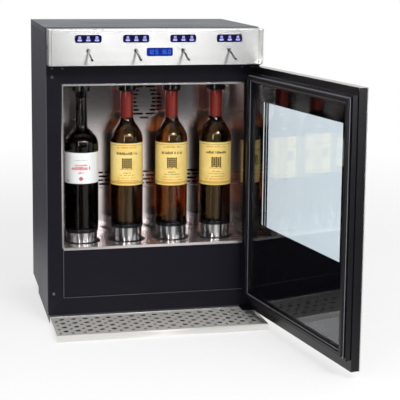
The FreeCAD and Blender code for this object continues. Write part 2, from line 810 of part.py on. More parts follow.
def makeGas():
    size = "manifoldSize"
    bar = box("ManifoldBar", f"{columns[0]} - 20", "manifoldFront", "foamCrown", "3 * pitch + 40", size, size)
    nipples = [rod(f"Nipple{i}", x, "manifoldFront - nippleLength", f"foamCrown + {size} / 2", "nippleRadius",
                   "nippleLength", alongY) for i, x in enumerate(columns)]
    regulator = rod("Regulator", f"{columns[3]} + 20 - 8", f"manifoldFront + {size} + regulatorRadius - 4",
                    "foamCrown", "regulatorRadius", "regulatorLength")
    node(fuse("Manifold", bar, regulator, *nipples), "gas_manifold")
    body = rod("GasBody", "inletAcross", "rear - gasBodyInside", "gasHeight", "gasBodyRadius",
               "gasBodyInside + gasBodyOutside", alongY)
    collar = rod("GasCollar", "inletAcross", "rear", "gasHeight", "gasBodyRadius + 2", "gasCollar", alongY)
    bore = rod("GasBoreTool", "inletAcross", "rear + gasBodyOutside - gasBoreLength", "gasHeight", "gasBore",
               "gasBoreLength + 1", alongY)
    node(cut("GasInlet", fuse("GasInletBlank", body, collar), bore), "gas_inlet")


# ---- bottle lifts and bottles ----

def makeLifts():
    sleeves, reels = [], []
    for i, x in enumerate(columns):
        bottom = "chamberFloor - liner - sleeveLength"
        wall = rod(f"SleeveWall{i}", x, "bottleAxis", bottom, "sleeveRadius", "sleeveLength")
        room = rod(f"SleeveRoom{i}", x, "bottleAxis", f"{bottom} + sleeveWall", "floorHole", "sleeveLength")
        sleeves.append(cut(f"Sleeve{i}", wall, room))
        reel = rod(f"ReelDrum{i}", f"{x} - reelWidth / 2", "bottleAxis + sleeveRadius + reelRadius - 1.5",
                   f"{bottom} + reelRadius", "reelRadius", "reelWidth", alongX)
        foot = box(f"ReelFoot{i}", f"{x} - reelWidth / 2 - 2", "bottleAxis + sleeveRadius", bottom,
                   "reelWidth + 4", "2 * reelRadius", 4)
        seat = rod(f"ReelSeat{i}", x, "bottleAxis", f"{bottom} - 1", "sleeveRadius", "sleeveLength")
        reels.append(cut(f"Reel{i}", fuse(f"ReelBlank{i}", reel, foot), seat))
        top = "firstCupTop" if i == 0 else "cupTop"
        collar = "floorHole - cupCollarGap"
        cup = revolved(f"Cup{i}", [
            ("cupRadius - cupWall", "0"), (collar, "0"), (collar, "cupCollar"), ("cupRadius", "cupCollar"),
            ("cupRadius", "cupSkirt"), ("0", "cupSkirt"), ("0", "cupSkirt - cupPad - cupWall"),
            ("cupRadius - cupWall", "cupSkirt - cupPad - cupWall")])
        softened(cup, [("cupRadius", "cupSkirt", "1.5")])
        node(put(cup, x, "bottleAxis", f"{top} - cupSkirt"), f"lift_cup_{i + 1}")
    node(group("Sleeves", *sleeves), "lift_sleeves")
    node(group("Reels", *reels), "lift_spring_reels")


def makeBottles():
    """Each bottle's glass is in four lengths that meet: foot, straight wall, shoulder and neck."""
    shapes = [("firstBottleRadius", "firstBottleSlope", "firstShoulderRound", "firstNeckRound",
               "firstNeckRadius", "firstNeckTop", "firstFinishRadius", "firstCupTop")]
    shapes += [("bottleRadius", "bottleSlope", "shoulderRound", "neckRound", "neckRadius", "neckRadius",
                "finishRadius", "cupTop")] * 3
    for i, (radius, slope, roundness, neckRound, neckFoot, neckTop, finish, base) in enumerate(shapes):
        tall = f"(mouthHeight - {base})"
        inside = f"({radius} - bottleWall)"
        neck = f"(bottleShoulder + {slope})"
        turned = revolved(f"BottleGlass{i}", [
            ("0", "puntHeight"), ("puntRadius", "0"), (radius, "0"), (radius, "bottleShoulder"),
            (neckFoot, neck), (neckTop, f"{tall} - finishHeight"), (finish, f"{tall} - finishHeight"),
            (finish, tall), ("mouthRadius", tall), ("mouthRadius", neck), (inside, "bottleShoulder - 1"),
            (inside, "bottleBase"), ("puntRadius", "bottleBase"), ("0", "puntHeight + bottleWall")])
        softened(turned, [(radius, "bottleShoulder", roundness), (neckFoot, neck, neckRound),
                          (inside, "bottleShoulder - 1", f"{roundness} - bottleWall"),
                          (radius, "0", "heelRound")])
        joins = ["0", "puntHeight + bottleWall", "bottleShoulder - glassJoin", f"{neck} + {neckRound} / 2",
                 tall]
        lengths = [common(f"BottleLength{i}{k}", turned,
                          box(f"BottleSpan{i}{k}", f"-{radius}", f"-{radius}", low, f"2 * {radius}",
                              f"2 * {radius}", f"{high} - ({low})"))
                   for k, (low, high) in enumerate(zip(joins, joins[1:]))]
        node(put(group(f"Bottle{i}", *lengths), columns[i], "bottleAxis", base), f"bottle_{i + 1}")


# ---- fan, cooling and power ----

def makeFan():
    middle, half = "chamberCentre", "fanSize / 2"
    frame = box("FanFrame", f"{middle} - {half}", "fanFront", f"grilleHeight - {half}", "fanSize", "fanDepth",
                "fanSize")
    bore = rod("FanBoreTool", middle, "fanFront - 1", "grilleHeight", "fanBore", "fanDepth + 2", alongY)
    back, arm, long = "fanFront + fanDepth - motorPlate", "fanStrut / 2", "2 * fanBore + 2"
    motor = rod("FanMotor", middle, back, "grilleHeight", "fanHub", "motorPlate", alongY)
    across = box("FanStrutAcross", f"{middle} - fanBore - 1", back, f"grilleHeight - {arm}", long,
                 "motorPlate", "fanStrut")
    upward = box("FanStrutUp", f"{middle} - {arm}", back, "grilleHeight - fanBore - 1", "fanStrut",
                 "motorPlate", long)
    shaft = rod("FanShaft", middle, "fanFront + fanInset + 1", "grilleHeight", "fanShaft",
                "fanDepth - fanInset - 1 - motorPlate", alongY)
    node(fuse("FanHousing", cut("FanRing", frame, bore), motor, across, upward, shaft), "fan_housing")
    depth, thick = value("fanDepth - 2 * fanInset - 1"), value("fanBladeThick")
    hub, tip, tilt = value("fanHub"), value("fanBlade"), value("fanBladeTilt")
    along = Vector(0, 1, 0)
    wheel = Part.makeCylinder(hub, depth, Vector(), along)
    count, wide = int(value("fanBlades")), depth / math.cos(math.radians(tilt))
    for k in range(count):
        blade = Part.makeBox(tip - hub + 2, thick, wide, Vector(hub - 2, -thick / 2, -wide / 2))
        blade.rotate(Vector(), Vector(1, 0, 0), 90 - tilt)
        blade.translate(Vector(0, depth / 2, 0))
        blade.rotate(Vector(), along, 360 / count * k)
        wheel = wheel.fuse(blade)
    rim = Part.makeCylinder(tip, depth, Vector(), along)
    bored = Part.makeCylinder(value("fanShaft + shaftClear"), depth, Vector(), along)
    impeller = make("Part::Feature", "Impeller")
    impeller.Shape = wheel.common(rim).cut(bored)
    node(put(impeller, middle, "fanFront + fanInset", "grilleHeight"), "fan_impeller")


def finRow(name, width, front, depth, height):
    """Upright fins across a heat sink."""
    step, thick = value("finPitch"), value("finThick")
    count = int((value(width) - thick) / step) + 1
    left = value("chamberCentre") - (count - 1) * step / 2 - thick / 2
    low = value("coolerHeight") - value(height) / 2
    fins = [Part.makeBox(thick, value(depth), value(height), Vector(left + k * step, value(front), low))
            for k in range(count)]
    return shaped(name, fins)


def makeCooling():
    cold = box("ColdPlate", "chamberCentre - coldWidth / 2", "coldFront + coldDepth - finBase",
               "coolerHeight - coldHeight / 2", "coldWidth", "finBase", "coldHeight")
    coldFins = finRow("ColdFins", "coldWidth", "coldFront", "coldDepth - finBase", "coldHeight")
    cell = box("CellBlock", "chamberCentre - cellSize / 2", "coldFront + coldDepth",
               "coolerHeight - cellSize / 2", "cellSize", "foamBack - coldFront - coldDepth", "cellSize")
    hot = box("HotPlate", "chamberCentre - hotWidth / 2", "foamBack", "coolerHeight - hotHeight / 2",
              "hotWidth", "finBase", "hotHeight")
    hotFins = finRow("HotFins", "hotWidth", "foamBack + finBase", "hotDepth - finBase", "hotHeight")
    node(fuse("Cooler", cold, coldFins, cell, hot, hotFins), "cooling_module")


def makePower():
    case = box("SupplyCase", "-supplyLeft", "front + supplyInset", "outerSheet", "supplyWidth", "supplyDepth",
               "supplyHeight")
    terminals = box("SupplyTerminals", "-supplyLeft + terminalInset", "front + supplyInset + terminalInset",
                    "outerSheet + supplyHeight", "supplyWidth - 2 * terminalInset", "terminalDepth",
                    "terminalHeight")
    node(fuse("Supply", case, terminals), "power_supply")
    half, tall = "inletWidth / 2", "inletHeight / 2"
    flange = box("InletFlange", f"inletX - {half}", "rear", f"inletLift - {tall}", "inletWidth",
                 "inletFlange", "inletHeight")
    body = box("InletBody", f"inletX - {half} + 8", "rear - inletRecess - 4", f"inletLift - {tall} + 3",
               "inletWidth - 16", "inletRecess + 4", "inletHeight - 6")
    recess = box("InletRecess", f"inletX - {half} + 10", "rear + inletFlange - inletRecess",
                 f"inletLift - {tall} + 5", "inletWidth - 20", "inletRecess + 1", "inletHeight - 10")
    blades = [box(f"InletBlade{k}", f"inletX + ({k} - 1) * 8 - 1", "rear + inletFlange - inletRecess - 1",
                  f"inletLift - 3 + 2 * abs({k} - 1) - 2", 2, "inletRecess - 3", 6) for k in range(3)]
    node(fuse("Inlet", cut("InletShell", fuse("InletBlank", flange, body), recess), *blades), "power_inlet")


# ---- door, built closed with its hinge axis at the origin, then swung open ----

def hang(thing):
    """Swings a door piece open about the hinge axis."""
    thing.setExpression("Placement.Rotation.Angle", formula("doorAngle"))
    return put(thing, "hingeX", "hingeY", 0)


def ring(name, left, y, bottom, long, deep, tall, wide):
    """A rectangular ring: long by tall outside, wide all round, deep along Y."""
    outer = box(name + "Outer", left, y, bottom, long, deep, tall)
    inner = box(name + "Inner", f"{left} + {wide}", f"{y} - 1", f"{bottom} + {wide}",
                f"{long} - 2 * ({wide})", f"{deep} + 2", f"{tall} - 2 * ({wide})")
    return cut(name, outer, inner)


def makeDoor():
    frame = ring("DoorRing", "-doorReach", "slabOuter + doorSkin", "doorFloor + capThick", "doorWidth",
                 "slabThick - doorSkin", "doorHeight - 2 * capThick", "stileWidth")
    paneLeft, paneLow = "-doorReach + stileWidth - glassRebate", "doorFloor + stileWidth - glassRebate"
    paneLong = "doorWidth - 2 * (stileWidth - glassRebate)"
    paneTall = "doorHeight - 2 * (stileWidth - glassRebate)"
    seat = box("OuterSeat", paneLeft, "slabOuter", paneLow, paneLong, "outerGlass", paneTall)
    pinHoles = [rod("PinHoleTop", 0, 0, "doorTop - pinDepth", "hingePin + pinClear", "pinDepth + 1"),
                rod("PinHoleFoot", 0, 0, "doorFloor - 1", "hingePin + pinClear", "pinDepth + 1")]
    hang(node(cut("DoorFrame", frame, seat, *pinHoles), "door_frame"))
    skin = ring("TrimRing", "-doorReach", "slabOuter", "doorFloor", "doorWidth", "doorSkin", "doorHeight",
                "stileWidth - glassRebate")
    caps = [box(f"TrimCap{i}", "-doorReach", "slabOuter", z, "doorWidth", "slabThick", "capThick")
            for i, z in enumerate(("doorFloor", "doorTop - capThick"))]
    trimHoles = [rod(f"TrimHole{i}", 0, 0, f"{z} - 1", "hingePin + pinClear", "capThick + 2")
                 for i, z in enumerate(("doorFloor", "doorTop - capThick"))]
    hang(node(cut("DoorTrim", fuse("TrimBlank", skin, *caps), *trimHoles), "door_trim"))
    pane = box("OuterPane", paneLeft, "slabOuter", paneLow, paneLong, "outerGlass", paneTall)
    hang(node(group("OuterGlass", pane), "door_glass_outer"))
    liner = ring("LinerRing", "ringLeft", "slabInner", "ringBottom", "ringLong", "ringHeight", "ringTall",
                 "ringWidth")
    inset = "(ringWidth - glassRebate)"
    inner = [f"ringLeft + {inset}", "ringFace - paneRecess - innerGlass", f"ringBottom + {inset}",
             f"ringLong - 2 * {inset}", "innerGlass", f"ringTall - 2 * {inset}"]
    hang(node(cut("DoorLiner", liner, box("InnerSeat", *inner)), "door_liner"))
    hang(node(group("InnerGlass", box("InnerPane", *inner)), "door_glass_inner"))
    edge = "(ringWidth - gasketWidth) / 2"
    foot = ring("GasketFoot", f"ringLeft + {edge}", "ringFace", f"ringBottom + {edge}",
                f"ringLong - 2 * {edge}", "gasketBase", f"ringTall - 2 * {edge}", "gasketWidth")
    side = f"({edge} + (gasketWidth - gasketBulb) / 2)"
    bulb = ring("GasketBulb", f"ringLeft + {side}", "ringFace", f"ringBottom + {side}",
                f"ringLong - 2 * {side}", "gasketFace - ringFace", f"ringTall - 2 * {side}", "gasketBulb")
    hang(node(fuse("DoorGasket", foot, bulb), "door_gasket"))


def makeHinges():
    """Two plates under and over the door, each with a pin on the hinge axis."""
    left = "hingeX + bracketNose - bracketWidth"
    nose = "hingeY - bracketNose"
    doc.recompute()
    tip = value(nose)

    def noseCorner(edge):
        return runsAlong(Vector(0, 0, 1))(edge) and abs(edge.Vertexes[0].Y - tip) < 1e-6

    upper = box("UpperPlate", left, nose, "frameTop", "bracketWidth",
                "hingeForward + bracketNose + bracketLap", "bracketThick")
    upperPin = rod("UpperPin", "hingeX", "hingeY", "doorTop - pinDepth + 0.5", "hingePin",
                   "frameTop - doorTop + pinDepth - 0.5")
    lower = box("LowerPlate", left, nose, "lowerBracketTop - lowerBracketThick", "bracketWidth",
                "hingeForward + bracketNose + plinthSetback", "lowerBracketThick")
    leg = box("LowerLeg", left, "front + 0.5", "lowerBracketTop - bracketLeg", "bracketWidth",
              "plinthSetback - 0.5", "bracketLeg")
    lowerPin = rod("LowerPin", "hingeX", "hingeY", "lowerBracketTop", "hingePin",
                   "doorFloor - lowerBracketTop + pinDepth - 0.5")
    node(group("Hinges", fuse("UpperHinge", rounded("UpperNose", upper, "bracketNose - 1", noseCorner),
                              upperPin),
               fuse("LowerHinge", rounded("LowerNose", lower, "bracketNose - 1", noseCorner), leg, lowerPin)),
         "hinge_brackets")


# ---- drip tray ----

def makeTray():
    """The tray is a floor with four rim strips, and the grid a pierced plate on two side strips."""
    side, near, far = "(trayWidth / 2)", "trayFront", "(trayFront + trayDepth - traySheet)"
    rim = "trayHeight - traySheet"
    floor = box("TrayFloor", f"-{side}", near, 0, "trayWidth", "trayDepth", "traySheet")
    rims = [box(f"TrayRim{i}", f"-{side}", y, "traySheet", "trayWidth", "traySheet", rim)
            for i, y in enumerate((near, far))]
    rims += [box(f"TrayCheek{i}", x, f"{near} + traySheet", "traySheet", "traySheet",
                 "trayDepth - 2 * traySheet", rim)
             for i, x in enumerate((f"-{side}", f"{side} - traySheet"))]
    node(group("Tray", floor, *rims), "drip_tray")
    inset = "(traySheet + gridGap)"
    left, top = f"-trayWidth / 2 + {inset}", "trayHeight - gridDrop - traySheet"
    across, deep = f"trayWidth - 2 * {inset}", f"trayDepth - 2 * {inset}"
    plate = box("GridBlank", left, f"trayFront + {inset}", top, across, deep, "traySheet")
    legs = [box(f"GridLeg{i}", x, f"trayFront + {inset}", "traySheet", "traySheet", deep,
                f"{top} - traySheet")
            for i, x in enumerate((left, f"-({left}) - traySheet"))]
    pitch, step = value("holePitch"), value("holeRow")
    many = int(value("bigHoles"))
    holes = []
    for k in range(2 * int(value("holeRows"))):
        big = k % 2 == 1
        count = many if big else many + 1
        radius = value("bigHole" if big else "smallHole")
        y = value("trayFront") + value("firstHoleRow") + k * step
        for j in range(count):
            holes.append(Part.makeCylinder(radius, 6, Vector((j - (count - 1) / 2) * pitch, y,
                                                             value(top) - 2)))
    node(group("Grid", cut("GridPlate", plate, shaped("GridHoles", holes)), *legs), "drip_grid")


# ---- screws ----

def makeScrews():
    """Round slotted heads on the front frame and on both ends of the fascia."""
    corner, side = "(width / 2 - screwInset)", "(width / 2 - 2.6 * screwInset)"
    spots = [(f"-{corner}", "frameTop - 5"), (corner, "frameTop - 5"), (f"-{side}", "frameTop - 5"),
             (side, "frameTop - 5"), (f"-{corner}", "frameTop - 25"), (corner, "frameTop - 25"),
             (f"-{corner}", "frameFloor + 49"), (corner, "frameFloor + 49")]
    screws = []
    for i, (x, z) in enumerate(spots):
        head = rod(f"ScrewHead{i}", x, "front + 0.3", z, "screwRadius", "screwGrip", alongY)
        groove = box(f"ScrewGroove{i}", f"{x} - 4", "front", f"{z} - screwSlot / 2", 8, 1, "screwSlot")
        screws.append(cut(f"Screw{i}", head, groove))
    for i, (x, cheek) in enumerate((("-width / 2 + 0.1", "-width / 2"), ("width / 2 - fasciaSide",
                                                                      "width / 2 - 0.6"))):
        head = rod(f"EndScrewHead{i}", x, "fasciaFace + fasciaProud / 2", "fasciaBottom + fasciaHeight / 2",
                   "screwRadius + 0.8", "fasciaSide - 0.1", alongX)
        groove = box(f"EndScrewGroove{i}", cheek, "fasciaFace + fasciaProud / 2 - 5",
                     "fasciaBottom + fasciaHeight / 2 - screwSlot / 2", 0.6, 10, "screwSlot")
        screws.append(cut(f"EndScrew{i}", head, groove))
    return node(group("Screws", *screws), "cabinet_screws")


for step in (makeScrews, makeShell, makeRearPanel, makeFrontFrame, makeChamber, makeChamberBack, makeFoam,
             makeFascia, makeControls, makeButtons, makeSpouts, makeStoppers, makeGas, makeLifts, makeBottles,
             makeFan, makeCooling, makePower, makeDoor, makeHinges, makeTray):
    step()
    doc.recompute()

problems = [thing.Label for thing in doc.Objects if "Invalid" in thing.State or "Error" in thing.State]
for thing in nodes:
    if thing.Shape.isNull() or not thing.Shape.isValid() or not thing.Shape.Solids:
        problems.append(thing.Label)
if problems:
    raise RuntimeError("objects with errors: " + ", ".join(problems))

for thing in nodes:
    thing.Shape.exportStep(f"parts/{thing.Label}.step")
    bounds = thing.Shape.BoundBox
    print(f"{thing.Label:22s} {len(thing.Shape.Solids):3d} {thing.Shape.Volume / 1000:9.2f} "
          f"{bounds.XMin:8.2f} {bounds.XMax:8.2f} {bounds.YMin:8.2f} {bounds.YMax:8.2f} "
          f"{bounds.ZMin:8.2f} {bounds.ZMax:8.2f}")
print(len(nodes), "nodes")
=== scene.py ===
import math
import random

import bmesh
import bpy
from mathutils import Matrix, Vector


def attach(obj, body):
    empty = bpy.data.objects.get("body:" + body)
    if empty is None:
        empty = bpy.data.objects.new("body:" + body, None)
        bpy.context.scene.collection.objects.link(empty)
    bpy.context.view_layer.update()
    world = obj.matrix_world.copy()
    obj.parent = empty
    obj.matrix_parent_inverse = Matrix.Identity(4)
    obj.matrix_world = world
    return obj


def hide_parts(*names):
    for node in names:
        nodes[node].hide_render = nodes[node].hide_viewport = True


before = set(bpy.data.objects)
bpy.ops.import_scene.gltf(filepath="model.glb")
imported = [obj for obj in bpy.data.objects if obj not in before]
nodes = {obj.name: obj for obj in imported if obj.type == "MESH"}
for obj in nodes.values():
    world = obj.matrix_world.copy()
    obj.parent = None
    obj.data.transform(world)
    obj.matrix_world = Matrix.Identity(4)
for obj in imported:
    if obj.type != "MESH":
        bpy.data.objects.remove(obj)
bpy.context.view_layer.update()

print("frame loaded:", len(nodes), "nodes")

mm = 0.001
# millimetres in the frame's own axes
cabinet = {"columns": (-153.25, -48.75, 55.75, 160.25), "bottleAxis": -101}
door = {"hinge": (232, -199), "openDegrees": 99.3}


def linear(code):
    channels = [int(code[i:i + 2], 16) / 255 for i in (1, 3, 5)]
    return tuple(c / 12.92 if c <= 0.04045 else ((c + 0.055) / 1.055) ** 2.4 for c in channels) + (1.0,)


def addNode(tree, kind, settings):
    node = tree.nodes.new("ShaderNode" + kind)
    for name, setting in settings.items():
        if isinstance(name, str) and name not in node.inputs:
            setattr(node, name, setting)
        elif isinstance(setting, bpy.types.NodeSocket):
            tree.links.new(setting, node.inputs[name])
        else:
            node.inputs[name].default_value = setting
    return node


def newMaterial(name):
    material = bpy.data.materials.new(name)
    material.use_nodes = True
    tree = material.node_tree
    tree.nodes.clear()
    return material, tree, addNode(tree, "TexCoord", {}).outputs["Object"]    # the row frame's own metres


def perMetre(millimetres):
    return 1000 / millimetres    # pattern scale for a feature of that size


# finishes

def powderCoatedSteel(name, colour, roughness, ior=1.38):
    # sheet steel with a baked polyester powder coat: satin, a fine orange peel and soft smudges
    material, tree, place = newMaterial(name)
    peel = addNode(tree, "TexNoise", {"Vector": place, "Scale": perMetre(2.4), "Detail": 2.0})
    smudge = addNode(tree, "TexNoise", {"Vector": place, "Scale": perMetre(90), "Detail": 4.0})
    gloss = addNode(tree, "MapRange", {"Value": smudge.outputs["Fac"], "To Min": roughness - 0.07,
                                       "To Max": roughness + 0.09})
    tint = addNode(tree, "MixRGB", {"Fac": smudge.outputs["Fac"], "Color1": linear(colour[0]),
                                    "Color2": linear(colour[1])})
    edge = addNode(tree, "Bevel", {"Radius": 0.001})
    bump = addNode(tree, "Bump", {"Height": peel.outputs["Fac"], "Strength": 0.12, "Distance": 0.0003,
                                  "Normal": edge.outputs["Normal"]})
    surface = addNode(tree, "BsdfPrincipled", {"Base Color": tint.outputs["Color"], "IOR": ior,
                                               "Roughness": gloss.outputs["Result"],
                                               "Normal": bump.outputs["Normal"]})
    addNode(tree, "OutputMaterial", {"Surface": surface.outputs["BSDF"]})
    return material


def brushedStainless(name, colour, roughness, around="Z", streaks=0.06, spread=0.75, upright=False):
    # cold-rolled stainless, belt-brushed: hair lines along the sheet, drawn 1.6 mm apart to show, which spread
    # every reflection across them
    material, tree, place = newMaterial(name)
    scale = [perMetre(1.6 if upright else 220), perMetre(1.6), perMetre(220 if upright else 1.6)]
    lines = addNode(tree, "Mapping", {"Vector": place, "Scale": scale})
    hair = addNode(tree, "TexNoise", {"Vector": lines.outputs["Vector"], "Scale": 1.0, "Detail": 3.0,
                                      "Roughness": 0.6})
    cloud = addNode(tree, "TexNoise", {"Vector": place, "Scale": perMetre(120), "Detail": 3.0})
    streak = addNode(tree, "Math", {"operation": "MULTIPLY_ADD", 0: hair.outputs["Fac"], 1: streaks,
                                    2: roughness - 0.1})
    gloss = addNode(tree, "Math", {"operation": "MULTIPLY_ADD", 0: cloud.outputs["Fac"], 1: 0.06,
                                   2: streak.outputs["Value"]})
    tint = addNode(tree, "MixRGB", {"Fac": hair.outputs["Fac"], "Color1": linear(colour[0]),
                                    "Color2": linear(colour[1])})
    bump = addNode(tree, "Bump", {"Height": hair.outputs["Fac"], "Strength": 0.02, "Distance": 0.0002})
    grain = addNode(tree, "Tangent", {"direction_type": "RADIAL", "axis": around})
    surface = addNode(tree, "BsdfPrincipled", {"Base Color": tint.outputs["Color"], "Metallic": 1.0,
                                               "Roughness": gloss.outputs["Value"], "Anisotropic": spread,
                                               "Anisotropic Rotation": 0.0 if upright else 0.25,
                                               "Tangent": grain.outputs["Tangent"],
                                               "Normal": bump.outputs["Normal"]})
    addNode(tree, "OutputMaterial", {"Surface": surface.outputs["BSDF"]})
    return material


def polishedMetal(name, colour, roughness):
    # chrome plate or polished steel: mirror-like with faint handling marks
    material, tree, place = newMaterial(name)
    marks = addNode(tree, "TexNoise", {"Vector": place, "Scale": perMetre(14), "Detail": 5.0})
    gloss = addNode(tree, "MapRange", {"Value": marks.outputs["Fac"], "From Min": 0.3, "From Max": 0.75,
                                       "To Min": roughness * 0.6, "To Max": roughness * 1.9})
    bump = addNode(tree, "Bump", {"Height": marks.outputs["Fac"], "Strength": 0.04, "Distance": 0.0004})
    surface = addNode(tree, "BsdfPrincipled", {"Base Color": linear(colour), "Metallic": 1.0,
                                               "Roughness": gloss.outputs["Result"],
                                               "Normal": bump.outputs["Normal"]})
    addNode(tree, "OutputMaterial", {"Surface": surface.outputs["BSDF"]})
    return material


def mouldedPlastic(name, colour, roughness, grain=1.8, coat=0.0):
    # injection-moulded ABS or similar: a fine spark-eroded grain, slightly uneven gloss
    material, tree, place = newMaterial(name)
    pits = addNode(tree, "TexNoise", {"Vector": place, "Scale": perMetre(grain), "Detail": 3.0})
    haze = addNode(tree, "TexNoise", {"Vector": place, "Scale": perMetre(60), "Detail": 3.0})
    gloss = addNode(tree, "MapRange", {"Value": haze.outputs["Fac"], "To Min": max(0.02, roughness - 0.08),
                                       "To Max": roughness + 0.08})
    edge = addNode(tree, "Bevel", {"Radius": 0.001})
    bump = addNode(tree, "Bump", {"Height": pits.outputs["Fac"], "Strength": 0.1, "Distance": 0.0002,
                                  "Normal": edge.outputs["Normal"]})
    surface = addNode(tree, "BsdfPrincipled", {"Base Color": linear(colour), "IOR": 1.4, "Coat Weight": coat,
                                               "Roughness": gloss.outputs["Result"],
                                               "Normal": bump.outputs["Normal"]})
    addNode(tree, "OutputMaterial", {"Surface": surface.outputs["BSDF"]})
    return material


def bottleGlass(name, colour, depth):
    # blown soda-lime glass: coloured through, glossy, with the slow ripple of a mould; depth is the thickness in
    # millimetres that takes most of the other colours out of the light, and dark glass gives weaker reflections
    material, tree, place = newMaterial(name)
    ripple = addNode(tree, "TexNoise", {"Vector": place, "Scale": perMetre(38), "Detail": 1.0})
    bump = addNode(tree, "Bump", {"Height": ripple.outputs["Fac"], "Strength": 0.1, "Distance": 0.001})
    surface = addNode(tree, "BsdfPrincipled", {"Base Color": (1, 1, 1, 1), "Roughness": 0.02, "IOR": 1.5,
                                               "Specular Tint": (0.68, 0.64, 0.6, 1), "Transmission Weight": 1.0,
                                               "Normal": bump.outputs["Normal"]})
    inside = addNode(tree, "VolumeAbsorption", {"Color": linear(colour), "Density": perMetre(depth)})
    addNode(tree, "OutputMaterial", {"Surface": surface.outputs["BSDF"], "Volume": inside.outputs["Volume"]})
    return material


def floatGlass(name, colour):
    # clear float glass: flat, hardly tinted, with a trace of dust that dulls its gloss
    material, tree, place = newMaterial(name)
    dust = addNode(tree, "TexNoise", {"Vector": place, "Scale": perMetre(45), "Detail": 6.0})
    gloss = addNode(tree, "MapRange", {"Value": dust.outputs["Fac"], "From Min": 0.45, "From Max": 0.8,
                                       "To Min": 0.0, "To Max": 0.05})
    surface = addNode(tree, "BsdfPrincipled", {"Base Color": linear(colour), "IOR": 1.44,
                                               "Roughness": gloss.outputs["Result"],
                                               "Transmission Weight": 1.0})
    addNode(tree, "OutputMaterial", {"Surface": surface.outputs["BSDF"]})
    return material


def labelPaper(name, colour):
    # uncoated label stock: matte with paper fibres and a faint warm mottle
    material, tree, place = newMaterial(name)
    fibre = addNode(tree, "TexNoise", {"Vector": place, "Scale": perMetre(1.5), "Detail": 4.0})
    mottle = addNode(tree, "TexNoise", {"Vector": place, "Scale": perMetre(30), "Detail": 3.0})
    tint = addNode(tree, "MixRGB", {"Fac": mottle.outputs["Fac"], "Color1": linear(colour[0]),
                                    "Color2": linear(colour[1])})
    bump = addNode(tree, "Bump", {"Height": fibre.outputs["Fac"], "Strength": 0.15, "Distance": 0.0001})
    surface = addNode(tree, "BsdfPrincipled", {"Base Color": tint.outputs["Color"], "Roughness": 0.62, "IOR": 1.45,
                                               "Normal": bump.outputs["Normal"]})
    addNode(tree, "OutputMaterial", {"Surface": surface.outputs["BSDF"]})
    return material


def printInk(name, colour):
    # offset ink: thin, slightly starved where the stock is rough
    material, tree, place = newMaterial(name)
    wear = addNode(tree, "TexNoise", {"Vector": place, "Scale": perMetre(1.2), "Detail": 2.0})
    gloss = addNode(tree, "MapRange", {"Value": wear.outputs["Fac"], "To Min": 0.4, "To Max": 0.65})
    surface = addNode(tree, "BsdfPrincipled", {"Base Color": linear(colour), "IOR": 1.45,
                                               "Roughness": gloss.outputs["Result"]})
    addNode(tree, "OutputMaterial", {"Surface": surface.outputs["BSDF"]})
    return material


def ceramicPrint(name, colour):
    # black enamel fired onto the glass: matte where it meets the pane, with a faint screen-print mottle
    material, tree, place = newMaterial(name)
    screen = addNode(tree, "TexNoise", {"Vector": place, "Scale": perMetre(4), "Detail": 2.0})
    tint = addNode(tree, "MixRGB", {"Fac": screen.outputs["Fac"], "Color1": linear(colour[0]),
                                    "Color2": linear(colour[1])})
    surface = addNode(tree, "BsdfPrincipled", {"Base Color": tint.outputs["Color"], "Roughness": 0.9,
                                               "Specular IOR Level": 0.0})
    addNode(tree, "OutputMaterial", {"Surface": surface.outputs["BSDF"]})
    return material


def capsuleFoil(name, colour):
    # lacquered tin capsule, spun on: satin metal colour with the spinning's vertical pleats
    material, tree, place = newMaterial(name)
    pleat = addNode(tree, "Mapping", {"Vector": place,
                                      "Scale": [perMetre(3), perMetre(3), perMetre(60)]})
    fold = addNode(tree, "TexNoise", {"Vector": pleat.outputs["Vector"], "Scale": 1.0, "Detail": 2.0})
    gloss = addNode(tree, "MapRange", {"Value": fold.outputs["Fac"], "To Min": 0.2, "To Max": 0.42})
    bump = addNode(tree, "Bump", {"Height": fold.outputs["Fac"], "Strength": 0.25, "Distance": 0.0003})
    surface = addNode(tree, "BsdfPrincipled", {"Base Color": linear(colour), "Metallic": 0.55, "Coat Weight": 0.3,
                                               "Coat Roughness": 0.15, "Roughness": gloss.outputs["Result"],
                                               "Normal": bump.outputs["Normal"]})
    addNode(tree, "OutputMaterial", {"Surface": surface.outputs["BSDF"]})
    return material


def litFilm(name, colour, glow):
    # backlit polycarbonate film: glossy, with light showing through unevenly
    material, tree, place = newMaterial(name)
    spread = addNode(tree, "TexNoise", {"Vector": place, "Scale": perMetre(9), "Detail": 2.0})
    light = addNode(tree, "MapRange", {"Value": spread.outputs["Fac"], "To Min": glow * 0.75, "To Max": glow * 1.25})
    surface = addNode(tree, "BsdfPrincipled", {"Base Color": linear(colour), "IOR": 1.5, "Roughness": 0.22,
                                               "Emission Color": linear(colour),
                                               "Emission Strength": light.outputs["Result"]})
    addNode(tree, "OutputMaterial", {"Surface": surface.outputs["BSDF"]})
    return material


def expandedFoam(name, colour):
    # closed-cell nitrile insulation: black, matte, cells about 2 mm across; it is this dark as painted shade for the
    # grille slots in front of it
    material, tree, place = newMaterial(name)
    cells = addNode(tree, "TexVoronoi", {"Vector": place, "Scale": perMetre(2.2)})
    tint = addNode(tree, "MixRGB", {"Fac": cells.outputs["Distance"], "Color1": linear(colour[0]),
                                    "Color2": linear(colour[1])})
    bump = addNode(tree, "Bump", {"Height": cells.outputs["Distance"], "Strength": 0.4, "Distance": 0.0006})
    surface = addNode(tree, "BsdfPrincipled", {"Base Color": tint.outputs["Color"], "Roughness": 0.85,
                                               "Normal": bump.outputs["Normal"]})
    addNode(tree, "OutputMaterial", {"Surface": surface.outputs["BSDF"]})
    return material


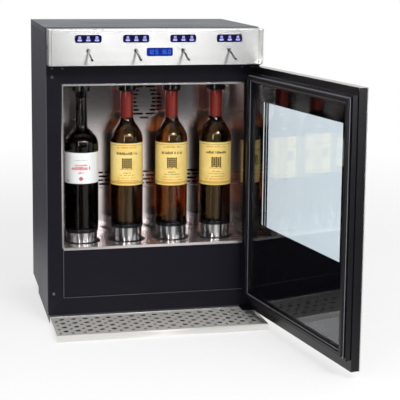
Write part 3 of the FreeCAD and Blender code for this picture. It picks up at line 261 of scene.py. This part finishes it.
finish = {
    "sidePanel": powderCoatedSteel("charcoalPowderCoat", ("#434249", "#4b4a52"), 0.5, 1.3),
    "lid": powderCoatedSteel("charcoalLid", ("#2b3644", "#343f50"), 0.36, 1.42),
    "frontFrame": powderCoatedSteel("blackPowderCoat", ("#0a0813", "#0e0c19"), 0.42, 1.28),
    "fascia": brushedStainless("stainlessFascia", ("#e8e8e7", "#f2f2f1"), 0.29, spread=0.9),
    "chamber": brushedStainless("stainlessChamber", ("#ece2e1", "#f3eae9"), 0.2, streaks=0.03, spread=0.85,
                                upright=True),
    "floorPlate": brushedStainless("stainlessFloor", ("#d8d0cf", "#e4dcdb"), 0.3, "Y"),
    "tray": brushedStainless("stainlessTray", ("#eceae6", "#f6f4f0"), 0.53, "Y"),
    "trim": brushedStainless("stainlessTrim", ("#cfcecc", "#dedddb"), 0.3),
    "chrome": brushedStainless("stainlessCup", ("#bfbdbe", "#cfcdcc"), 0.2),
    "spout": polishedMetal("polishedTube", "#6a696b", 0.12),
    "screw": polishedMetal("zincPlate", "#77777a", 0.3),
    "aluminium": polishedMetal("extrudedAluminium", "#b9babd", 0.32),
    "brass": polishedMetal("turnedBrass", "#b58f4a", 0.25),
    "doorFrame": mouldedPlastic("blackAbs", "#08070c", 0.3),
    "gasket": mouldedPlastic("softVinylGasket", "#0c0c0f", 0.42, 2.5),
    "cupRim": mouldedPlastic("cupRimRubber", "#0d0d11", 0.22, 2.5),
    "stopper": mouldedPlastic("blackAcetal", "#070708", 0.16, 3.0, 0.5),
    "greyPlastic": mouldedPlastic("greyAbs", "#6d6e70", 0.5),
    "circuit": mouldedPlastic("solderMask", "#12492a", 0.3, 4.0, 0.3),
    "darkGlass": bottleGlass("blackBottleGlass", "#7a3c00", 1.4),
    "brownGlass": bottleGlass("brownBottleGlass", "#e4c200", 3.6),
    "doorGlass": floatGlass("doorFloatGlass", "#f0f7fb"),
    "redWine": bottleGlass("redWine", "#6a1410", 14),
    "whiteWine": bottleGlass("goldenWine", "#e6bc66", 17),
    "amberWine": bottleGlass("amberWine", "#b4762c", 16),
    "whiteLabel": labelPaper("whiteLabelStock", ("#e2e3e4", "#d6d9da")),
    "yellowLabel": labelPaper("yellowLabelStock", ("#f3de98", "#dab440")),
    "redInk": printInk("redInk", "#c9565a"),
    "greyInk": printInk("greyInk", "#85878a"),
    "brownInk": printInk("brownInk", "#5a471d"),
    "orangeInk": printInk("orangeInk", "#cf9630"),
    "borderPrint": ceramicPrint("blackCeramicPrint", ("#060608", "#09090c")),
    "capsule": capsuleFoil("redCapsule", "#8a2c24"),
    "keypad": litFilm("keypadFilm", "#05052e", 0.1),
    "button": litFilm("buttonFilm", "#0a0a46", 0.15),
    "buttonMark": litFilm("buttonLight", "#aaa8ea", 0.26),
    "display": litFilm("displayFilm", "#021c74", 0.2),
    "displayMark": litFilm("displayDigits", "#2f66d0", 0.3),
    # painted highlight: a light grey for the gasket's lit edges
    "sealHighlight": mouldedPlastic("paintedSealHighlight", "#8f8e98", 0.3, 2.5),
    # painted shade: a black sheet for the shade on the tray's floor under the grid
    "trayShade": mouldedPlastic("paintedTrayShade", "#060607", 0.6, 2.5),
    # painted highlight: a lighter grey for the lit edges around the lower front panel
    "edgeHighlight": powderCoatedSteel("paintedEdgeHighlight", ("#45444b", "#4d4c54"), 0.4),
    # painted shade: a dark line for the shade of the fascia's folded edges
    "foldShade": printInk("paintedFoldShade", "#3c3d40"),
    # painted shade: the foam is near black so the slots in the chamber back read as shaded
    "foam": expandedFoam("slotShadeFoam", ("#161515", "#0c0b0b")),
}

surfaces = {
    "sidePanel": ("side_panel_left", "side_panel_right", "rear_panel", "base_plinth"),
    "lid": ("top_lid",),
    "frontFrame": ("front_frame", "lower_front_panel", "hinge_brackets"),
    "fascia": ("fascia",),
    "chamber": ("chamber_wall_left", "chamber_wall_right", "chamber_ceiling", "chamber_back"),
    "floorPlate": ("chamber_floor",),
    "tray": ("drip_tray", "drip_grid"),
    "trim": ("door_trim",),
    "chrome": ("lift_cup_1", "lift_cup_2", "lift_cup_3", "lift_cup_4"),
    "spout": ("pour_spouts", "pickup_tubes"),
    "screw": ("cabinet_screws",),
    "aluminium": ("cooling_module", "gas_manifold", "power_supply"),
    "brass": ("pour_valves", "gas_inlet"),
    "doorFrame": ("door_frame", "door_liner", "fan_housing", "fan_impeller", "power_inlet"),
    "gasket": ("door_gasket",),
    "stopper": ("bottle_stoppers",),
    "greyPlastic": ("lift_sleeves", "lift_spring_reels"),
    "circuit": ("control_board",),
    "doorGlass": ("door_glass_outer", "door_glass_inner"),
    "keypad": ("keypad_plates",),
    "display": ("display_window",),
    "foam": ("foam_insulation",),
    "button": tuple(name for name in nodes if name.startswith("dose_button")),
}
for finishName, names in surfaces.items():
    for name in names:
        nodes[name].data.materials.clear()
        nodes[name].data.materials.append(finish[finishName])
print("finishes on", sum(len(names) for names in surfaces.values()), "nodes")


# making pieces

def newPiece(name, mesh, materials, body):
    piece = bpy.data.objects.new(name, mesh)
    bpy.context.scene.collection.objects.link(piece)
    for material in materials:
        mesh.materials.append(material)
    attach(piece, body)
    return piece


def meshFrom(name, build):
    shape = bmesh.new()
    build(shape)
    bmesh.ops.recalc_face_normals(shape, faces=shape.faces)
    mesh = bpy.data.meshes.new(name)
    shape.to_mesh(mesh)
    shape.free()
    return mesh


def addBlock(shape, low, high, turn=Matrix()):
    made = bmesh.ops.create_cube(shape, size=1.0)["verts"]
    low, high = Vector(low) * mm, Vector(high) * mm
    for vertex in made:
        vertex.co = turn @ Vector([low[k] + (vertex.co[k] + 0.5) * (high[k] - low[k]) for k in range(3)])


def addTurned(shape, profile, centre, steps=64):
    rings = []
    for radius, height in profile:
        if radius == 0:
            rings.append([shape.verts.new(Vector((centre[0], centre[1], height)) * mm)] * steps)
            continue
        rings.append([shape.verts.new(Vector((centre[0] + radius * math.cos(2 * math.pi * k / steps),
                                              centre[1] + radius * math.sin(2 * math.pi * k / steps),
                                              height)) * mm) for k in range(steps)])
    for lower, upper in zip(rings, rings[1:]):
        for k in range(steps):
            corners = [lower[k], lower[(k + 1) % steps], upper[(k + 1) % steps], upper[k]]
            corners = [c for i, c in enumerate(corners) if c not in corners[:i]]
            if len(corners) > 2:
                shape.faces.new(corners).smooth = True


def addPatch(shape, centre, radius, facing, left, right, low, high, materialIndex, facet=3):
    # a patch on a bottle's side; left and right are millimetres along the curve from the facing direction, as is
    # the facet
    count = max(1, int(abs(right - left) / facet))
    rows = []
    for k in range(count + 1):
        angle = facing + (left + (right - left) * k / count) / radius
        x, y = centre[0] + radius * math.sin(angle), centre[1] - radius * math.cos(angle)
        rows.append([shape.verts.new(Vector((x, y, z)) * mm) for z in (low, high)])
    for (a, b), (c, d) in zip(rows, rows[1:]):
        face = shape.faces.new((a, c, d, b))
        face.smooth = True
        face.material_index = materialIndex


# bottles

bottles = {
    "wall": 3, "foot": 5, "mouth": 9.25, "mouthHeight": 517, "shoulder": 208, "insideDrop": 1, "finish": 15,
    "steps": 96,
    "punt": {"radius": 26, "height": 22},
    "rounding": {"punt": 1.5, "heel": 4, "collar": 0.2, "underLip": 0.15, "lip": 1.2, "innerHeel": 3,
                 "innerNeck": 6},
    "kinds": {
        "claret": {"radius": 38.5, "base": 204, "slope": 22, "shoulderRound": 40, "neckRound": 14, "neck": 14,
                   "neckTop": 12.2, "finishRadius": 13.2, "glass": "darkGlass"},
        "standard": {"radius": 37, "base": 212, "slope": 30, "shoulderRound": 52, "neckRound": 29, "neck": 14.2,
                     "neckTop": 14.2, "finishRadius": 14.6, "glass": "brownGlass"},
    },
    "row": (("claret", "redWine", 273), ("standard", "amberWine", 252), ("standard", "whiteWine", 252),
            ("standard", "amberWine", 252)),    # shape, wine and fill height over the base
    "wine": {"overlap": 0.08, "edge": 0.5},     # how far it reaches into the glass, and its rounded rim
}


def roundedOutline(corners, steps=9, support=0.6):
    # corners are (radius, height, rounding); each rounding becomes an arc with a support point on either side
    points = []
    for i, (r, z, rounding) in enumerate(corners):
        corner = Vector((r, z))
        if not rounding:
            points.append(corner)
            continue
        back = (Vector(corners[i - 1][:2]) - corner).normalized()
        ahead = (Vector(corners[i + 1][:2]) - corner).normalized()
        half = back.angle(ahead) / 2
        reach, middle = rounding / math.tan(half), (back + ahead).normalized()
        centre = corner + middle * rounding / math.sin(half)
        start = corner + back * reach - centre
        turn = start.angle_signed(corner + ahead * reach - centre)
        points.append(corner + back * (reach + support))
        for k in range(steps + 1):
            angle = -turn * k / steps
            points.append(centre + Vector((start.x * math.cos(angle) - start.y * math.sin(angle),
                                           start.x * math.sin(angle) + start.y * math.cos(angle))))
        points.append(corner + ahead * (reach + support))
    return points


def bottleShape(i):
    kind = bottles["kinds"][bottles["row"][i][0]]
    return kind, (cabinet["columns"][i], cabinet["bottleAxis"])


def innerWall(kind, spare=0.0):
    # from the foot up to the neck, spare millimetres into the glass
    inside = kind["radius"] - bottles["wall"] + spare
    foot, neck = bottles["foot"] - spare, bottles["shoulder"] + kind["slope"]
    punt, rounding = bottles["punt"], bottles["rounding"]
    return [(0, punt["height"] + bottles["wall"] - spare, 0), (punt["radius"], foot, rounding["innerHeel"]),
            (inside, foot, rounding["innerHeel"]),
            (inside, bottles["shoulder"] - bottles["insideDrop"], kind["shoulderRound"] - bottles["wall"]),
            (bottles["mouth"] + spare, neck, rounding["innerNeck"])]


def makeBottle(i):
    kind, centre = bottleShape(i)
    tall = bottles["mouthHeight"] - kind["base"]
    neck, lip = bottles["shoulder"] + kind["slope"], tall - bottles["finish"]
    punt, rounding = bottles["punt"], bottles["rounding"]
    outside = [(0, punt["height"], 0), (punt["radius"], 0, rounding["punt"]), (kind["radius"], 0, rounding["heel"]),
               (kind["radius"], bottles["shoulder"], kind["shoulderRound"]), (kind["neck"], neck, kind["neckRound"]),
               (kind["neckTop"], lip, rounding["collar"]), (kind["finishRadius"], lip, rounding["underLip"]),
               (kind["finishRadius"], tall, rounding["lip"]), (bottles["mouth"], tall, rounding["lip"])]
    profile = roundedOutline(outside + innerWall(kind)[::-1])

    def build(shape):
        addTurned(shape, [(p.x, p.y + kind["base"]) for p in profile], centre, bottles["steps"])

    piece = newPiece(f"bottleGlass{i + 1}", meshFrom(f"bottleGlass{i + 1}", build), [finish[kind["glass"]]],
                     f"lift_{i + 1}")
    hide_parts(f"bottle_{i + 1}")


def makeWine(i):
    kind, centre = bottleShape(i)
    wine, fill = bottles["row"][i][1:]
    wall = innerWall(kind, bottles["wine"]["overlap"])
    profile = roundedOutline(wall + [(wall[-1][0], fill, bottles["wine"]["edge"]), (0, fill, 0)])

    def build(shape):
        addTurned(shape, [(max(0, p.x), p.y + kind["base"]) for p in profile], centre, bottles["steps"])

    newPiece(f"wine{i + 1}", meshFrom(f"wine{i + 1}", build), [finish[wine]], f"lift_{i + 1}")


# paper labels with generic print

labels = {
    "facingDegrees": -9, "seed": 40,    # they face a little to the left
    "paper": 0.15, "ink": 0.12,         # thickness over the glass, and over the paper
    "row": (("white", 311, 381.2, 66), ("yellow", 303.5, 400, 57), ("yellow", 300.5, 399, 57),
            ("yellow", 298, 397.5, 57)),    # stock, foot, top and half width along the curve
    # shortest and longest stroke, the space after it, and by what shares of its height it falls short
    "print": {"stroke": (0.8, 2.6), "space": 0.7, "ragged": (0, 0.1, 0.35)},
    # each line: half width, foot and top from the label's foot (white) or down from its top (yellow), ink
    "white": {
        "inks": ("greyInk", "redInk"), "gaps": 0.12,
        "lines": ((15, 53, 54.4, 1), (14, 40.6, 44, 2), (22, 31.4, 39.2, 2), (6, 23, 26.6, 2)),
        "seal": {"reach": 5, "foot": 6.5, "height": 10, "steps": 12},
        "notes": {"left": 30, "right": 37, "feet": (3.5, 6.5), "height": 1.3},
    },
    "yellow": {
        "inks": ("brownInk", "orangeInk"), "gaps": 0.15,
        "lines": ((24, 11.5, 7.2, 2), (25, 26, 19.8, 1), (16, 61, 58, 2), (9, 68.5, 66.6, 1), (18, 73.6, 72, 1),
                  (22, 80.5, 78, 2), (27, 87, 84, 2)),
        "rules": {"side": 3, "sideWidth": 0.8, "foot": (3.6, 4.3), "top": (4.9, 4.2)},
        "weave": {"pitch": 4.9, "bars": 5, "half": 1.6, "low": 58, "high": 33.5, "short": 2.2, "row": 56.6,
                  "reach": 11.5, "height": 2.3, "over": 0.02},
        "band": {"side": 6, "foot": (5.5, 8.2)},
    },
}


def printedLine(addInk, half, low, high, colour, rng, gaps):
    # a line of fine print: short strokes with gaps, too small to be letters
    fine = labels["print"]
    across = -half
    while across < half:
        stroke = rng.uniform(*fine["stroke"])
        if rng.random() > gaps:
            crown = high - rng.choice(fine["ragged"]) * (high - low)
            addInk(across, min(half, across + stroke), low, crown, colour)
        across += stroke + fine["space"]


def printWhite(addInk, half, low, rng):
    art = labels["white"]
    seal, notes = art["seal"], art["notes"]
    for reach, foot, top, colour in art["lines"]:
        printedLine(addInk, reach, low + foot, low + top, colour, rng, art["gaps"])
    rise = seal["height"] / seal["steps"]
    for step in range(seal["steps"]):    # a plain round seal
        edge = seal["reach"] * math.sin(math.pi * (step + 0.5) / seal["steps"])
        addInk(-edge, edge, low + seal["foot"] + rise * step, low + seal["foot"] + rise * (step + 1), 2)
    for foot in notes["feet"]:
        addInk(-half + notes["left"], -half + notes["right"], low + foot, low + foot + notes["height"], 1)


def printYellow(addInk, half, low, high, rng, ink):
    art = labels["yellow"]
    rules, weave, band = art["rules"], art["weave"], art["band"]
    side, rule = rules["side"], rules["sideWidth"]
    for foot, top in ([high - drop for drop in rules["top"]], [low + rise for rise in rules["foot"]]):
        addInk(-half + side, half - side, foot, top, 1)
    for edge in (-half + side, half - side - rule):
        addInk(edge, edge + rule, low + rules["foot"][0], high - rules["top"][1], 1)
    for step in range(weave["bars"]):    # a woven square of interlaced bars
        across, up = (step - weave["bars"] // 2) * weave["pitch"], high - weave["row"] + step * weave["pitch"]
        short = weave["short"] if step % 2 else 0
        addInk(across - weave["half"], across + weave["half"], high - weave["low"] + short,
               high - weave["high"] - short, 1)
        addInk(-weave["reach"] + short, weave["reach"] - short, up, up + weave["height"], 1, ink + weave["over"])
    for reach, foot, top, colour in art["lines"]:
        printedLine(addInk, reach, high - foot, high - top, colour, rng, art["gaps"])
    addInk(-half + band["side"], half - band["side"], low + band["foot"][0], low + band["foot"][1], 2)


def makeLabel(i):
    kind, centre = bottleShape(i)
    paper = kind["radius"] + labels["paper"]
    ink = paper + labels["ink"]
    rng = random.Random(labels["seed"] + i)
    stock, low, high, half = labels["row"][i]

    def build(shape):
        def addInk(left, right, foot, top, colour, radius=ink):
            addPatch(shape, centre, radius, math.radians(labels["facingDegrees"]), left, right, foot, top, colour)

        addInk(-half, half, low, high, 0, paper)
        if stock == "white":
            printWhite(addInk, half, low, rng)
        else:
            printYellow(addInk, half, low, high, rng, ink)

    newPiece(f"label{i + 1}", meshFrom(f"label{i + 1}", build),
             [finish[stock + "Label"]] + [finish[name] for name in labels[stock]["inks"]], f"lift_{i + 1}")


# foil capsules, each profile point as its distance inside the radius and its height from the foot or the top

capsule = {
    "low": 456, "high": 516.8, "radius": 15.0, "opening": 10.4,
    "foot": ((0.7, 0.4), (0.5, 0), (0.25, 0.5)),
    "top": ((0.25, -16), (0, -14.5), (0, -2), (0.5, 0.1), (1.6, 0.25)),
}


def makeCapsule(i):
    profile = [(capsule["radius"] - inset, capsule["low"] + rise) for inset, rise in capsule["foot"]]
    profile += [(capsule["radius"] - inset, capsule["high"] + rise) for inset, rise in capsule["top"]]
    profile.append((capsule["opening"], profile[-1][1]))

    def build(shape):
        addTurned(shape, profile, (cabinet["columns"][i], cabinet["bottleAxis"]))

    newPiece(f"capsule{i + 1}", meshFrom(f"capsule{i + 1}", build), [finish["capsule"]], f"lift_{i + 1}")


for i in range(4):
    makeBottle(i)
    makeWine(i)
    makeLabel(i)
    if i > 0:
        makeCapsule(i)
print("bottles dressed")


# lift cups

# each profile point is a distance inside the rim and a height from the cup's top or from the rim's foot
cups = {"rim": 37.4, "tops": (204, 212, 212, 212), "height": 8.5,
        "upper": ((3.4, 0.1), (0.8, 0.3), (0, -0.6)), "lower": ((0, 1.2), (0.8, 0), (2, 0))}
for i, (column, top) in enumerate(zip(cabinet["columns"], cups["tops"])):
    def buildRim(shape):
        outline = [(cups["rim"] - inset, top + rise) for inset, rise in cups["upper"]]
        outline += [(cups["rim"] - inset, top - cups["height"] + rise) for inset, rise in cups["lower"]]
        addTurned(shape, outline, (column, cabinet["bottleAxis"]))

    newPiece(f"cupRim{i + 1}", meshFrom(f"cupRim{i + 1}", buildRim), [finish["cupRim"]], f"lift_{i + 1}")
print("cup rims made")


# keypads and display

keys = {
    "pitch": 18.6, "height": 643, "face": -222.98, "proud": 0.2,
    "portions": {"small": 0.7, "medium": 1.3, "large": 1.9},    # half width of the gap in each button's bowl
    "ring": {"rise": 2.7, "inner": 1.5, "outer": 2.8, "steps": 32},
    "bowl": {"drop": 4.9, "slice": 0.7, "slices": 5, "wide": 5.1, "taper": 0.5, "power": 1.8, "gapped": (2, 3)},
}


def addRing(shape, across, height, face):
    # a flat ring facing the front
    ring, steps = keys["ring"], keys["ring"]["steps"]
    loops = []
    for radius, y in ((ring["inner"], face), (ring["outer"], face), (ring["outer"], face - keys["proud"]),
                      (ring["inner"], face - keys["proud"])):
        loops.append([shape.verts.new(Vector((across + radius * math.sin(2 * math.pi * k / steps), y,
                                              height + radius * math.cos(2 * math.pi * k / steps))) * mm)
                      for k in range(steps)])
    for first, second in zip(loops, loops[1:] + loops[:1]):
        for k in range(steps):
            shape.faces.new((first[k], first[(k + 1) % steps], second[(k + 1) % steps], second[k]))


def addBowl(shape, across, height, face, gap):
    # a wide bowl in flat slices, with a gap in the middle of some
    bowl = keys["bowl"]
    for step in range(bowl["slices"]):
        wide = bowl["wide"] - bowl["taper"] * abs(step - bowl["slices"] // 2) ** bowl["power"]
        low = height - bowl["drop"] + step * bowl["slice"]
        inner = gap if step in bowl["gapped"] else 0
        for side in (-1, 1):
            ends = sorted((side * inner, side * wide))
            addBlock(shape, (across + ends[0], face - keys["proud"], low),
                     (across + ends[1], face, low + bowl["slice"]))


for i, column in enumerate(cabinet["columns"]):
    for k, (portion, gap) in enumerate(keys["portions"].items()):
        across = column + (k - 1) * keys["pitch"]

        def buildMark(shape):
            addRing(shape, across, keys["height"] + keys["ring"]["rise"], keys["face"])
            addBowl(shape, across, keys["height"], keys["face"], gap)

        newPiece(f"buttonLight{i + 1}{portion}", meshFrom(f"buttonLight{i + 1}{portion}", buildMark),
                 [finish["buttonMark"]], f"button_{i + 1}_{portion}")


display = {"centre": 3.5, "height": 614, "face": -221.6, "digit": (5.6, 9.5), "stroke": 1.15, "thick": 0.06,
           "space": 1.7, "narrow": {".": 2.2, " ": 4.0}, "text": "12.5 16.0"}
segments = {"0": "abcdef", "1": "bc", "2": "abged", "5": "afgcd", "6": "afgedc", ".": "."}


def buildDigits(shape):
    wide, tall = display["digit"]
    line, front, back = display["stroke"], display["face"] - display["thick"], display["face"]
    advances = [display["narrow"].get(character, wide + display["space"]) for character in display["text"]]
    across = display["centre"] - sum(advances) / 2
    low = display["height"] - tall / 2
    bars = {
        "a": ((0, tall - line), (wide, tall)), "d": ((0, 0), (wide, line)),
        "g": ((0, (tall - line) / 2), (wide, (tall + line) / 2)),
        "f": ((0, tall / 2), (line, tall)), "b": ((wide - line, tall / 2), (wide, tall)),
        "e": ((0, 0), (line, tall / 2)), "c": ((wide - line, 0), (wide, tall / 2)),
        ".": ((0, 0), (line, line)),
    }
    for character, advance in zip(display["text"], advances):
        for bar in segments.get(character, ""):
            (x0, z0), (x1, z1) = bars[bar]
            addBlock(shape, (across + x0, front, low + z0), (across + x1, back, low + z1))
        across += advance


newPiece("displayDigits", meshFrom("displayDigits", buildDigits), [finish["displayMark"]], "cabinet")
print("keypads and display made")


# door: printed border on the outer pane

doorTurn = (Matrix.Translation(Vector((*door["hinge"], 0)) * mm)
            @ Matrix.Rotation(math.radians(door["openDegrees"]), 4, "Z"))
border = {"outer": (-454.4, -9.6, 34.1, 562.9), "window": (-388, -51, 219, 500), "depth": (-7.95, -7.7),
          "slits": ((-43, -40.5), (-30, -25))}


def buildBorder(shape):
    left, right, bottom, top = border["outer"]
    winLeft, winRight, winBottom, winTop = border["window"]
    near, far = border["depth"]
    spans = [(left, right, bottom, winBottom), (left, right, winTop, top), (left, winLeft, winBottom, winTop)]
    edges = [winRight] + [x for slit in border["slits"] for x in slit] + [right]
    spans += [(x0, x1, winBottom, winTop) for x0, x1 in zip(edges[::2], edges[1::2])]
    for x0, x1, low, high in spans:
        addBlock(shape, (x0, near, low), (x1, far, high), turn=doorTurn)


newPiece("doorPrint", meshFrom("doorPrint", buildBorder), [finish["borderPrint"]], "door")

# grey strips either side of the gasket's bulb: painted highlights of its edges
highlightStrips = {"loops": ((-463, -1, 46.5, 559.5), (-453, -11, 56.5, 549.5)), "wide": 2, "face": (22.0, 22.4)}


def buildSealHighlights(shape):
    near, far = highlightStrips["face"]
    for left, right, bottom, top in highlightStrips["loops"]:
        for x0, x1, z0, z1 in ((left, right, bottom, bottom + highlightStrips["wide"]), (left, right, top - highlightStrips["wide"], top),
                               (left, left + highlightStrips["wide"], bottom, top), (right - highlightStrips["wide"], right, bottom, top)):
            addBlock(shape, (x0, near, z0), (x1, far, z1), turn=doorTurn)


newPiece("sealHighlights", meshFrom("sealHighlights", buildSealHighlights), [finish["sealHighlight"]], "door")
print("door dressed")


# trims, a painted fold shade on the fascia, painted edge highlights and a black sheet of painted shade in the tray

details = {
    "openingTrim": ("trim", "cabinet", "stainless", (
        ((-204, -171.9, 536.6), (211, -171.05, 539.6)), ((-204, -171.9, 170), (-202.4, -171.05, 536.6)),
        ((209, -171.9, 170), (211, -171.05, 536.6)))),
    # lighter grey strips of painted highlight along the lower panel's edges
    "panelEdgeHighlight": ("edgeHighlight", "cabinet", "black_plastic", (
        ((-204.2, -171.7, 56.5), (211.2, -171.05, 58)), ((-204.2, -171.7, 58), (-202.6, -171.05, 166)))),
    # dark lines of painted shade where the fascia's edges fold back
    "fasciaFoldShade": ("foldShade", "cabinet", "black_plastic", (
        ((-233.2, -221.08, 585.5), (-232.4, -221.02, 661.5)), ((227.4, -221.08, 586), (228.0, -221.02, 661)))),
    "lowerBackSheet": ("chamber", "cabinet", "stainless", (((-202.9, -37.8, 173), (209.9, -37.05, 280)),)),
    "backSheetFold": ("trim", "cabinet", "stainless", (((-202.9, -39.4, 280), (209.9, -37.05, 282)),)),
    # a black sheet of painted shade on the tray's floor, under the grid
    "trayShadeSheet": ("trayShade", "tray", "black_rubber", (((-231.5, -308.5, 1.25), (231.5, -174.5, 2.0)),)),
}
for name, (finishName, body, slotName, blocks) in details.items():
    def buildBlocks(shape):
        for low, high in blocks:
            addBlock(shape, low, high)

    newPiece(name, meshFrom(name, buildBlocks), [finish[finishName]], body)
print("trims made")


# camera

camera = {"place": (-0.51197, -2.81589, 0.82129), "yaw": 13.18, "pitch": 8.62, "roll": 0.61, "lens": 109.15,
          "sensor": 36, "shift": -0.15, "farEnd": 100}
yaw, pitch, roll = (math.radians(camera[k]) for k in ("yaw", "pitch", "roll"))
ahead = Vector((math.sin(yaw) * math.cos(pitch), math.cos(yaw) * math.cos(pitch), -math.sin(pitch)))
across = Vector((math.cos(yaw), -math.sin(yaw), 0))
upward = across.cross(ahead)
right = math.cos(roll) * across + math.sin(roll) * upward
top = -math.sin(roll) * across + math.cos(roll) * upward
cameraData = bpy.data.cameras.new("viewpoint")
cameraData.lens = camera["lens"]
cameraData.sensor_width = camera["sensor"]
cameraData.shift_y = camera["shift"]
cameraData.clip_end = camera["farEnd"]
viewpoint = bpy.data.objects.new("viewpoint", cameraData)
viewpoint.matrix_world = Matrix((
    (right.x, top.x, -ahead.x, camera["place"][0]), (right.y, top.y, -ahead.y, camera["place"][1]),
    (right.z, top.z, -ahead.z, camera["place"][2]), (0, 0, 0, 1)))
bpy.context.scene.collection.objects.link(viewpoint)
bpy.context.scene.camera = viewpoint


# floor, light and surroundings

studio = {
    "floorColour": "#f0f0f0", "floorReach": 14.0, "floorHeight": -0.0002, "aim": (0, -0.1, 0.35),
    # distances in metres; each lit strip has its bearing and the half widths where it starts and ends to fade
    "paper": {"seen": 0.62, "whiteFrom": (0.9, 2.4), "through": 1.08, "sheen": 0.95, "end": -3.0, "fade": 0.4,
              "past": 0.03, "strips": ((14, 11, 22), (-34, 2, 6)), "near": (0.55, 0.85), "beside": 0.06},
    "surroundings": {"diffuse": 0.68, "front": 0.02, "behind": 0.8, "turn": (-0.2, 0.5), "through": 1.1},
    "lamps": {
        "key": {"place": (0.44, -2.45, 1.85), "size": (0.78, 0.4), "power": 32},
        "fill": {"place": (0.3, -3.0, 1.95), "size": (2.8, 0.5), "power": 14},
        "left": {"place": (-1.3, -2.6, 0.95), "size": (0.3, 1.56), "power": 13},
        "right": {"place": (1.6, -2.6, 0.95), "size": (0.3, 1.56), "power": 12},
    },
}


def byRay(tree, value, shown):
    # the value that each kind of ray in shown meets; where two kinds apply, the later one holds
    rays = addNode(tree, "LightPath", {})
    for kind, other in shown.items():
        value = addNode(tree, "MapRange", {"Value": rays.outputs[kind], "To Min": value,
                                           "To Max": other}).outputs["Result"]
    return value


def makeFloor():
    material, tree, place = newMaterial("studioFloor")
    # white paper: gloss shows it near the object and, between black flags, as lit strips up to its front edge;
    # far from the object it burns out to white
    size = studio["paper"]
    parts = addNode(tree, "SeparateXYZ", {"Vector": place})
    front = addNode(tree, "MapRange", {"Value": parts.outputs["Y"], "From Min": size["end"] - size["fade"],
                                       "From Max": size["end"] + size["fade"], "To Min": size["past"],
                                       "To Max": size["sheen"]})
    ahead = addNode(tree, "Math", {"operation": "MULTIPLY", 0: parts.outputs["Y"], 1: -1.0})
    bearing = addNode(tree, "Math", {"operation": "ARCTAN2", 0: parts.outputs["X"], 1: ahead.outputs["Value"]})
    away = addNode(tree, "VectorMath", {"operation": "LENGTH", 0: place})
    flags = addNode(tree, "MapRange", {"Value": away.outputs["Value"], "From Min": size["near"][0],
                                       "From Max": size["near"][1], "To Min": 1.0,
                                       "To Max": size["beside"]}).outputs["Result"]
    for degrees, full, faded in size["strips"]:
        turned = addNode(tree, "Math", {"operation": "SUBTRACT", 0: bearing.outputs["Value"],
                                        1: math.radians(degrees)})
        aside = addNode(tree, "Math", {"operation": "ABSOLUTE", 0: turned.outputs["Value"]})
        strip = addNode(tree, "MapRange", {"Value": aside.outputs["Value"], "From Min": math.radians(full),
                                           "From Max": math.radians(faded), "To Min": 1.0,
                                           "To Max": size["beside"]}).outputs["Result"]
        flags = addNode(tree, "Math", {"operation": "MAXIMUM", 0: flags, 1: strip}).outputs["Value"]
    sheen = addNode(tree, "Math", {"operation": "MULTIPLY", 0: front.outputs["Result"], 1: flags})
    seen = addNode(tree, "MapRange", {"Value": away.outputs["Value"], "From Min": size["whiteFrom"][0],
                                      "From Max": size["whiteFrom"][1], "To Min": size["seen"]})
    share = byRay(tree, 0.0, {"Is Glossy Ray": 1.0, "Is Transmission Ray": 1.0,
                              "Is Camera Ray": seen.outputs["Result"]})
    level = byRay(tree, 1.0, {"Is Glossy Ray": sheen.outputs["Value"], "Is Transmission Ray": size["through"]})
    matte = addNode(tree, "BsdfDiffuse", {"Color": linear(studio["floorColour"])})
    paper = addNode(tree, "Emission", {"Color": (1, 1, 1, 1), "Strength": level})
    mixed = addNode(tree, "MixShader", {0: share, 1: matte.outputs["BSDF"], 2: paper.outputs["Emission"]})
    addNode(tree, "OutputMaterial", {"Surface": mixed.outputs["Shader"]})

    def build(shape):
        reach = studio["floorReach"]
        shape.faces.new([shape.verts.new((x * reach, y * reach, studio["floorHeight"]))
                         for x, y in ((-1, -1), (1, -1), (1, 1), (-1, 1))])

    mesh = meshFrom("floor", build)
    mesh.materials.append(material)
    floor = bpy.data.objects.new("floor", mesh)
    bpy.context.scene.collection.objects.link(floor)


def makeWorld():
    # white paper all round, with a dark room in front of the object that shows only in gloss
    world = bpy.data.worlds.new("studio")
    world.use_nodes = True
    tree = world.node_tree
    tree.nodes.clear()
    size = studio["surroundings"]
    heading = addNode(tree, "TexCoord", {})
    parts = addNode(tree, "SeparateXYZ", {"Vector": heading.outputs["Generated"]})
    room = addNode(tree, "MapRange", {"Value": parts.outputs["Y"], "From Min": size["turn"][0],
                                      "From Max": size["turn"][1], "To Min": size["front"],
                                      "To Max": size["behind"]})
    level = byRay(tree, size["diffuse"], {"Is Glossy Ray": room.outputs["Result"],
                                          "Is Transmission Ray": size["through"], "Is Camera Ray": 1.0})
    sky = addNode(tree, "Background", {"Color": (1, 1, 1, 1), "Strength": level})
    addNode(tree, "OutputWorld", {"Surface": sky.outputs["Background"]})
    bpy.context.scene.world = world


def makeLamps():
    for name, size in studio["lamps"].items():
        lamp = bpy.data.lights.new(name, "AREA")
        lamp.shape = "RECTANGLE"
        lamp.size, lamp.size_y = size["size"]
        lamp.energy = size["power"]
        body = bpy.data.objects.new(name, lamp)
        body.location = size["place"]
        aim = Vector(studio["aim"]) - Vector(size["place"])
        body.rotation_euler = aim.to_track_quat("-Z", "Y").to_euler()
        bpy.context.scene.collection.objects.link(body)


makeFloor()
makeWorld()
makeLamps()
bpy.context.scene.view_settings.view_transform = "Standard"
print("studio set")
